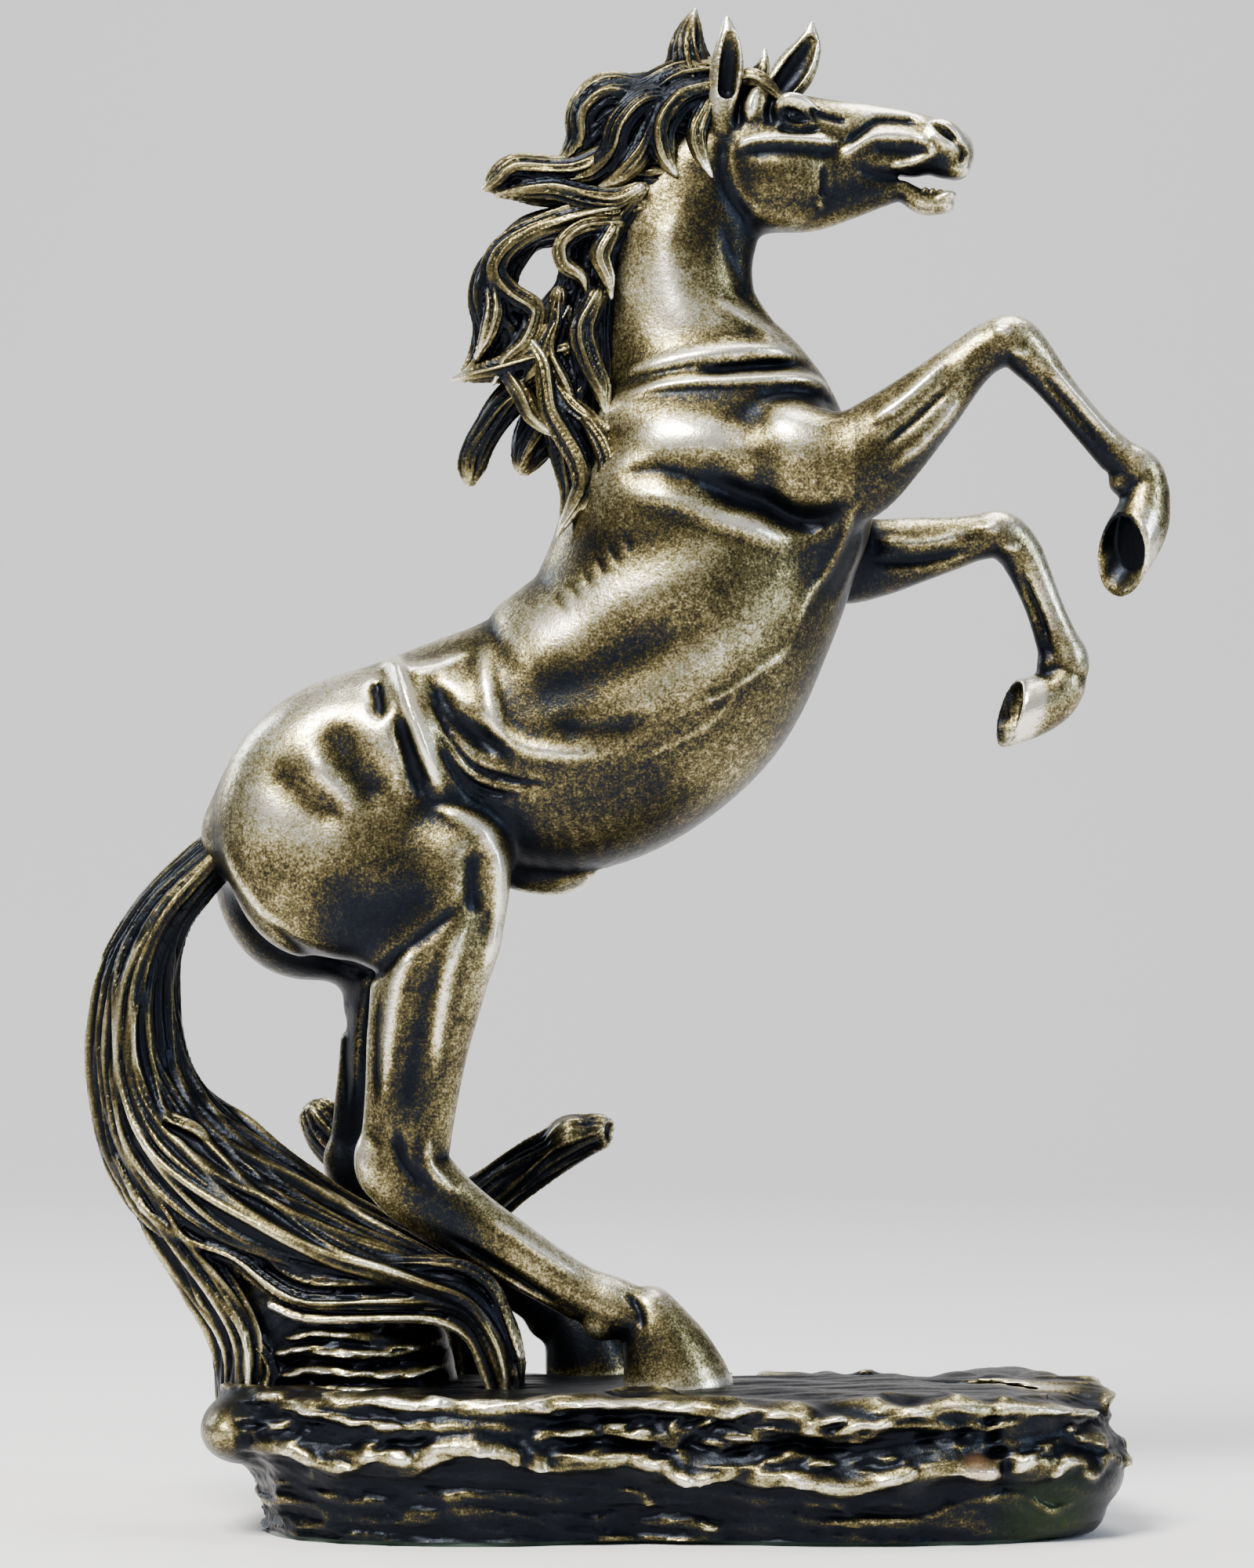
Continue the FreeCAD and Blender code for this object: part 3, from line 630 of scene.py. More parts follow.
# The brow, the lower lid and the nostril, on the left side of the head
BROW = [
    (38.6, 9.2, 362, 0.7, 0.9), (41, 9.8, 363.2, 1.2, 1.3), (45, 9.2, 362.4, 1.2, 1.2),
    (49, 8, 359.6, 0.5, 0.7),
]
LOWER_LID = [(41, 9.4, 356, 0.4, 0.4), (43.6, 9.4, 355.6, 0.6, 0.6), (46.6, 8.6, 356.6, 0.4, 0.4)]
NOSTRIL = [(77.8, 7, 357, 0.9, 1.6), (80.6, 7.6, 355, 1.5, 2), (83, 7, 352.8, 1, 1.6)]
NOSTRIL_RIM = [(78, 6.6, 353.6, 0.4, 0.5), (81, 7, 351.6, 0.6, 0.6), (84, 6, 351, 0.4, 0.5)]
RIGHT_EAR = [
    (24.4, -6.4, 356, 3.2, 3.4), (24.6, -7.4, 364, 3.9, 3.2), (25.4, -8.2, 371, 4.3, 3),
    (25.8, -8.8, 377.4, 3, 2.2), (25.4, -8.8, 383.4, 0.7, 0.6),
]
LEFT_EAR = [
    (35.5, 6.4, 360, 4, 3.4), (38.6, 7.6, 366, 5, 3.4), (43, 8.4, 372, 5.4, 3),
    (46.4, 8.8, 378, 3.6, 2.2), (47.4, 8.8, 384, 0.7, 0.7),
]
HEAD_STROKES = [
    # the cheekbone, with the hollow under it, and the round edge of the cheek
    ([(28, 350.3), (31.3, 352.3), (39.3, 352.9), (46, 352.7), (54, 351.8)], 1.2, 1.3),
    ([(31, 348.8), (40, 349.2), (53, 348.6)], 1.8, -0.7),
    ([(27.4, 351.7), (26.6, 347), (28.2, 340.6), (31.6, 335.6), (36, 332.8)], 1.4, 0.35),
    ([(24.4, 352), (23.8, 345), (26, 337.6), (31, 332)], 1.8, -0.6),
    # the groove under the nasal bone, and the muscle of the lip, looped back to the corner of the mouth
    ([(54.7, 351), (58.7, 353.9), (62.7, 357), (66, 357.6), (70, 357.4), (75, 356.8)], 1.2, -1.1),
    ([(54, 347.7), (57.3, 350.3), (61.3, 353), (66, 353.9), (73.3, 353.2), (77.4, 351.4)], 1.4, 1.0),
    ([(77.4, 351.4), (77, 348.8), (72.7, 346.8), (66.7, 345.9)], 1.1, 0.9),
    ([(63, 350), (68, 350.2), (74, 350)], 1.8, -0.7),
    ([(58, 346), (64, 344), (70, 343)], 1.6, -0.7),
    ([(83.6, 352), (85.6, 349.6), (84.6, 346)], 0.9, -0.8),
    # the seam across the jaw
    ([(50, 345.6), (49.8, 341), (49.2, 336)], 0.9, -0.6),
    ([(49.3, 338), (49.2, 335.4)], 0.9, 0.9),
    # folds about the eye
    ([(36.6, 355.6), (36, 360), (37, 364.4)], 1.3, -1.2),
    ([(46.4, 360.6), (50, 358.4), (56, 357)], 0.9, -0.8),
    ([(38.4, 355.2), (43, 354), (49, 355.2)], 0.9, -0.8),
    ([(31, 358), (31.6, 363), (34, 367)], 1.3, 0.9),
    ([(28, 355), (28.4, 361), (30, 366)], 1.3, -1.2),
]


def on_side(side, stations):
    """Stations that are given for the left side, on either side."""
    return [(x, side * y, z, depth, width) for x, y, z, depth, width in stations]


def sculpt_head(clay):
    clay.tube(SKULL, blend=4, spans=8)
    clay.tube(LOWER_JAW, blend=3, spans=8)
    clay.tube(MOUTH, blend=0.8, carve=True)
    for side in (NEAR_SIDE, FAR_SIDE):
        # the cheek, the temple, the swelling over the eye, and the corner of the mouth
        clay.blob((39, side * 4.6, 344), (12.6, 6.8, 13), blend=3)
        clay.blob((33, side * 6.4, 361.5), (5, 3.4, 3.4), tilt=20, blend=3)
        clay.blob((42, side * 8, 360), (4.8, 2.4, 3.4), tilt=-15, blend=2)
        clay.blob((77, side * 6.6, 342.6), (4.6, 3.4, 3.4), tilt=-12, blend=0.8, carve=True)
        # the eye deep in its socket, between its lids and under a heavy brow
        clay.blob((42.8, side * 10.4, 358.4), (3.7, 2.3, 1.6), tilt=-24, blend=1.2, carve=True)
        clay.blob((42.6, side * 7.9, 358.4), (1.9, 1.5, 1.1), tilt=-20, blend=0.3)
        clay.tube(on_side(side, BROW), blend=1.4)
        clay.tube(on_side(side, LOWER_LID), blend=0.8)
        # the nostril, a slanting slit with a flared rim
        clay.blob((80.4, side * 4.6, 353.6), (5, 3, 4.4), tilt=-34, blend=2.5)
        clay.tube(on_side(side, NOSTRIL), blend=0.6, carve=True)
        clay.tube(on_side(side, NOSTRIL_RIM), blend=1.2)
        # the upper and lower lip, and the lower teeth
        clay.blob((84.4, side * 3, 346), (3, 3.2, 2.6), blend=2)
        clay.blob((81.4, side * 2.6, 338.8), (2.6, 2.2, 1.3), tilt=10, blend=1)
        for i in range(4):
            clay.blob((76 + 1.9 * i, side * (3 - 0.4 * i), 340 - 0.2 * i), (0.9, 0.8, 1.1), blend=0.4)
    relief = Relief(clay)
    relief.paint(HEAD_STROKES, fade=0.14)
    clay.emboss(relief)
    for stations in (RIGHT_EAR, LEFT_EAR):
        clay.tube(stations, blend=1.2)
        middle = stations[1:4]
        opening = [(x + 0.7, y - 2.4, z + 1, depth * 0.6, width * 0.95) for x, y, z, depth, width in middle]
        clay.tube(opening, blend=0.3, carve=True)


RIGHT_HIND_LEG = [
    (-46.6, -18.6, 160, 15, 11.5), (-49, -19.5, 148, 16, 11.5), (-50.4, -20, 137, 14.4, 10),
    (-52.6, -20, 124, 12.9, 9), (-54, -20, 110, 11.4, 8), (-55, -19.5, 99, 10.6, 7.4),
    (-56, -19.5, 92, 11.2, 7.6), (-50.6, -19.5, 86.4, 10.2, 7.2), (-41, -19.5, 80, 8, 6.4),
    (-27, -20, 71, 6.8, 5.4), (-13, -20, 62, 6.4, 5.2), (-4, -20, 57.6, 7.4, 6.2), (2, -20, 55, 7, 6.2),
    (8, -20, 52.4, 6.8, 6.4),
]
LEFT_HIND_LEG = [
    (-55.6, 18.6, 156, 15, 11.5), (-58, 19.5, 144, 16, 11.5), (-59.4, 20, 133, 14, 9.8),
    (-61, 20, 119, 12.4, 8.6), (-63.6, 20, 106, 11, 8), (-65, 19.5, 96, 10.4, 7.4),
    (-66, 19.5, 90, 10.8, 7.6), (-61, 19.5, 83, 9.8, 7.2), (-52, 19.5, 76, 7.6, 6.4),
    (-39, 20, 67, 6.6, 5.4), (-27, 20, 58.6, 6.2, 5.2), (-19, 20, 54, 7.2, 6.2), (-14, 20, 51.4, 6.8, 6),
]
RIGHT_FORELEG = [
    (44, -18, 266, 14, 10), (55, -21, 268, 14, 10), (64, -22, 274.4, 12, 8.8), (75, -22, 284.4, 9.2, 7.4),
    (85, -22, 294.2, 6.7, 6), (91, -22, 298.8, 6.3, 6), (97, -22, 300.4, 6.6, 6.2),
    (102, -22, 296, 5.8, 5.2), (108, -22, 289, 4.6, 4), (117, -22, 278.4, 4.3, 3.7),
    (124, -22, 271.4, 4.8, 4.2), (129, -22, 267.4, 5.8, 5), (131.6, -22, 262, 4.9, 4.6),
    (130.6, -22, 258.4, 5.6, 5.4),
]
LEFT_FORELEG = [
    (44, 18, 252, 14, 10), (55, 21, 247.4, 12, 9.4), (64, 22, 247.4, 10.2, 8.4),
    (73, 22, 249.2, 8.8, 7.2), (83, 22, 251, 7, 6.2), (90, 22, 252.6, 6, 5.8),
    (96.6, 22, 253.4, 6.3, 6.1), (101.6, 22, 249, 5.7, 5.2), (105.6, 22, 242, 4.6, 4),
    (109.4, 22, 233, 4.2, 3.6), (112.2, 22, 226, 4.7, 4.2), (114, 22, 221, 5.6, 5),
    (113.6, 22, 216.4, 5, 4.8), (111.6, 22, 213.4, 5.6, 5.4),
]
# How far in x and z the left hind leg's hock and tendons, and its strokes, lie from the right one's
LEFT_HOCK_SHIFT = (-9.6, -3)
LEFT_STROKES_SHIFT = (-9.5, -3)
# Each hoof is a tube cut off by its sole: its stations, a point of the sole, and the way the sole faces
HOOVES = [
    (
        [
            (130.8, -22, 262, 5.6, 5.8), (129.6, -22.6, 256, 7, 7), (127.2, -23.6, 251, 7.6, 8.4),
            (123.4, -25, 245.6, 7.9, 9.4), (120.4, -26, 241, 8, 9.6),
        ],
        (124, -25, 248),
        (-0.73, -0.65, -0.22),
    ),
    (
        [
            (112.6, 22, 214.4, 6, 6), (109.6, 22, 211.4, 7, 7), (104.6, 21.6, 209, 7.8, 7.8),
            (98, 21, 207.4, 8.6, 8.4), (91, 20.6, 206, 9, 8.8),
        ],
        (98.8, 21, 207.7),
        (-0.927, -0.3, 0.224),
    ),
    (
        [
            (5.6, -20, 55.6, 7.2, 7), (7.6, -20, 51, 9, 8.6), (10.6, -20, 44, 11.6, 10.4),
            (13, -20, 36, 14, 12),
        ],
        (12, -20, BASE_TOP - 1),
        DOWN,
    ),
    (
        [
            (-14.6, 20, 52.6, 7, 6.8), (-13, 20, 48.6, 8.6, 8.2), (-10.6, 20, 43, 10.6, 9.6),
            (-8.6, 20, 36, 12.6, 11),
        ],
        (-8, 20, BASE_TOP - 1),
        DOWN,
    ),
]
# The thickness of a hoof's wall at its sole, and how deep the sole is hollowed
HOOF_WALL = 1.2
SOLE_DEPTH = 5.0
# Tendons, as (x, z, half depth, half width)
HIND_TENDONS = [
    [(-62.6, 126, 1.4, 2.2), (-63.6, 110, 1.8, 2.2), (-65, 97, 2, 2.6)],
    [(-58, 82.4, 2, 2.4), (-40, 70.6, 2, 2.4), (-14, 56, 1.4, 2)],
]
RIGHT_FORE_TENDON = [(100.8, 294, 1.4, 1.8), (110.8, 282, 1.5, 1.9), (120.8, 270, 1.8, 2.2)]
LEFT_FORE_TENDON = [(99.6, 244.8, 1.4, 1.8), (104.6, 234, 1.5, 1.9), (108.2, 223, 1.8, 2.2)]
# The long muscles and tendons of the right hind leg's shank and cannon, and the fold over its hoof
HIND_LEG_STROKES = [
    ([(-52, 152), (-57, 142), (-60, 126), (-61, 108)], 2.2, 1.3),
    ([(-40, 156), (-44, 144), (-47, 128), (-49, 112)], 1.8, 1.0),
    ([(-46, 148), (-51, 134), (-54, 118), (-56, 106)], 2.4, -0.7),
    ([(-62, 138), (-62.6, 124), (-63, 106)], 1.5, -0.8),
    ([(-58, 104), (-56, 94), (-48, 86)], 1.6, -1.2),
    ([(-50, 102), (-49, 93), (-42, 85)], 1.6, 1.0),
    ([(-46, 76), (-30, 66.4), (-16, 57.4)], 1.1, -1.2),
    ([(-38, 82), (-24, 73), (-10, 64)], 1.0, 0.6),
    ([(-2, 62), (3, 57), (4, 51)], 1.1, -0.9),
]
# The forearms, knees and cannons of the raised legs
FORELEG_STROKES = [
    ([(60, 279), (70, 286), (82, 297)], 1.7, 1.1),
    ([(62, 272), (73, 281), (84, 292)], 1.6, -1.1),
    ([(64, 266), (76, 276), (86, 288)], 1.5, 0.9),
    ([(104, 297), (114, 285.4), (124, 274)], 1.0, 0.6),
    ([(102, 294.6), (112.4, 283), (122.4, 271.4)], 0.9, -0.8),
    ([(62, 252), (76, 251), (90, 254.4)], 1.6, 0.9),
    ([(62, 246), (76, 246.6), (90, 250)], 1.4, -1.0),
    ([(101.4, 245), (106.2, 234.4), (109.8, 224.4)], 0.9, -0.8),
]
KNEES = [(94, 303.4), (98.6, 297.4), (93.6, 255.4), (99, 250.4)]


def at_depth(y, line, dx=0, dz=0):
    """Stations at one y, from (x, z, half depth, half width)."""
    return [(x + dx, y, z + dz, depth, width) for x, z, depth, width in line]


def sculpt_legs(clay):
    for stations in (RIGHT_HIND_LEG, LEFT_HIND_LEG, RIGHT_FORELEG, LEFT_FORELEG):
        clay.tube(stations, blend=5, spans=7)
    for stations, sole, facing in HOOVES:
        sculpt_hoof(clay, stations, sole, facing)
    # the points of the hocks, the tendons behind the shanks and under the cannons, and the fetlocks
    for y, (dx, dz) in ((-19.5, (0, 0)), (19.5, LEFT_HOCK_SHIFT)):
        clay.blob((-64.5 + dx, y, 93 + dz), (3.6, 4.4, 6.4), tilt=12, blend=3)
        for tendon in HIND_TENDONS:
            clay.tube(at_depth(y, tendon, dx, dz), blend=2.4)
    for fetlock in ((-7, -20, 52.6), (-21.4, 20, 49.2)):
        clay.blob(fetlock, (4.2, 4.4, 3.6), tilt=-30, blend=2.4)
    # the tendons and fetlocks of the forelegs
    clay.tube(at_depth(-22, RIGHT_FORE_TENDON), blend=1.6)
    clay.blob((124.4, -22, 264.6), (3.4, 4, 3), tilt=-50, blend=2)
    clay.tube(at_depth(22, LEFT_FORE_TENDON), blend=1.6)
    clay.blob((109, 22, 219.6), (3, 4, 3.4), tilt=-10, blend=2)


def sculpt_hoof(clay, stations, sole, facing):
    """A hoof's flared wall, cut off flat by its sole. A raised hoof is hollowed between its walls."""
    places = np.array([station[:3] for station in stations])
    room = 14
    block, window = clay.piece(places.min(axis=0) - room, places.max(axis=0) + room)
    if block is None:
        return
    block.tube(stations, spans=5)
    x, y, z = block.axes
    beyond = (x - sole[0]) * facing[0] + (y - sole[1]) * facing[1] + (z - sole[2]) * facing[2]
    beyond = beyond.astype(np.float32)
    hollow = np.maximum(block.field + HOOF_WALL, -beyond - SOLE_DEPTH)
    block.field = -melted(-block.field, -beyond, 1.6)
    if facing != DOWN:
        block.field = -melted(-block.field, hollow, 0.8)
    clay.merge(window, block.field, 0.7)


def moved(points, dx, dz):
    return [(x + dx, z + dz) for x, z in points]


def sculpt_leg_relief(clay):
    for side, shift in ((NEAR_SIDE, (0, 0)), (FAR_SIDE, LEFT_STROKES_SHIFT)):
        relief = Relief(clay)
        relief.paint([(moved(points, *shift), width, height) for points, width, height in HIND_LEG_STROKES])
        clay.emboss(relief, side)
    relief = Relief(clay)
    relief.paint(FORELEG_STROKES)
    for x, z in KNEES:
        relief.stroke([(x - 2, z), (x + 2, z - 1)], 1.3, 0.7)
    clay.emboss(relief)


def sculpt_horse(clay):
    sculpt_trunk(clay)
    sculpt_legs(clay)
    sculpt_trunk_relief(clay)
    sculpt_leg_relief(clay)
    sculpt_head(clay)
    return clay


# ================================================================ hair
# Below 2, a lock's section is more pointed than an ellipse
LOCK_POWER = 1.3
# The ridges on a lock: how many more than strands, how long their sway is, and how their sizes vary
EXTRA_RIDGES = 3
SWAY_LENGTHS = (9, 18)
RIDGE_SIZES = (0.6, 1.3)
# The thinnest ridge, and the thickest as a share of the lock
MIN_RIDGE = 0.36
MAX_RIDGE_SHARE = 0.24
MANE_FINENESS = 1.5


def shortened(draw, chance, count):
    """How many of a lock's rows a ridge leaves out at one end: none, by this chance, or up to a third."""
    return 0 if draw.random() < chance else draw.randrange(count // 3 + 1)


def lock(clay, spine, number, seed, sway=0.3, fineness=1.0):
    """A lock of hair: a sharp-backed, grooved body along a spine, with fine ridges that wander along it."""
    draw = random.Random(seed)
    rows = smooth_path(spine, 3)
    ahead = np.gradient(rows[:, :3], axis=0)
    ahead /= np.linalg.norm(ahead, axis=1, keepdims=True)
    side = np.array([0.0, 1.0, 0.0]) - ahead * ahead[:, 1:2]
    side /= np.linalg.norm(side, axis=1, keepdims=True)
    across = np.cross(ahead, side)
    steps = np.linalg.norm(np.diff(rows[:, :3], axis=0), axis=1)
    run = np.concatenate([[0.0], np.cumsum(steps)])
    clay.tube(rows, blend=0.7, strands=(number, seed), spans=1, power=LOCK_POWER)
    ridges = number + EXTRA_RIDGES
    for i in range(ridges):
        start = 2 * math.pi * (i + draw.uniform(-0.3, 0.3)) / ridges
        turn = start + sway * np.sin(run / draw.uniform(*SWAY_LENGTHS) + draw.uniform(0, 6.3))
        thick = min(draw.uniform(*RIDGE_SIZES) * 1.5 / number * fineness, MAX_RIDGE_SHARE)
        section = np.abs(np.cos(turn)) ** LOCK_POWER + np.abs(np.sin(turn)) ** LOCK_POWER
        # the ridge lies in the lock's surface, sunk by most of its own thickness
        out = section ** (-1 / LOCK_POWER) * (1 - 0.7 * thick)
        first = shortened(draw, 0.6, len(rows))
        last = len(rows) - shortened(draw, 0.5, len(rows))
        part = slice(first, last)
        ridge = np.empty((last - first, 5))
        ridge[:, :3] = (
            rows[part, :3]
            + across[part] * (rows[part, 3] * out[part] * np.cos(turn[part]))[:, None]
            + side[part] * (rows[part, 4] * out[part] * np.sin(turn[part]))[:, None]
        )
        # it tapers over its first three rows and its last four
        size = (rows[part, 3] + rows[part, 4]) / 2 * thick
        size = size * np.minimum(1, np.arange(last - first, 0, -1) / 4)
        size = size * np.minimum(1, np.arange(1, last - first + 1) / 3)
        ridge[:, 3] = 1.5 * size
        ridge[:, 4] = np.maximum(0.6 * size, np.minimum(MIN_RIDGE, 1.2 * size))
        roll = (-math.degrees(turn[first]), -math.degrees(turn[last - 1]))
        clay.tube(ridge, blend=0.5, roll=roll, spans=2)


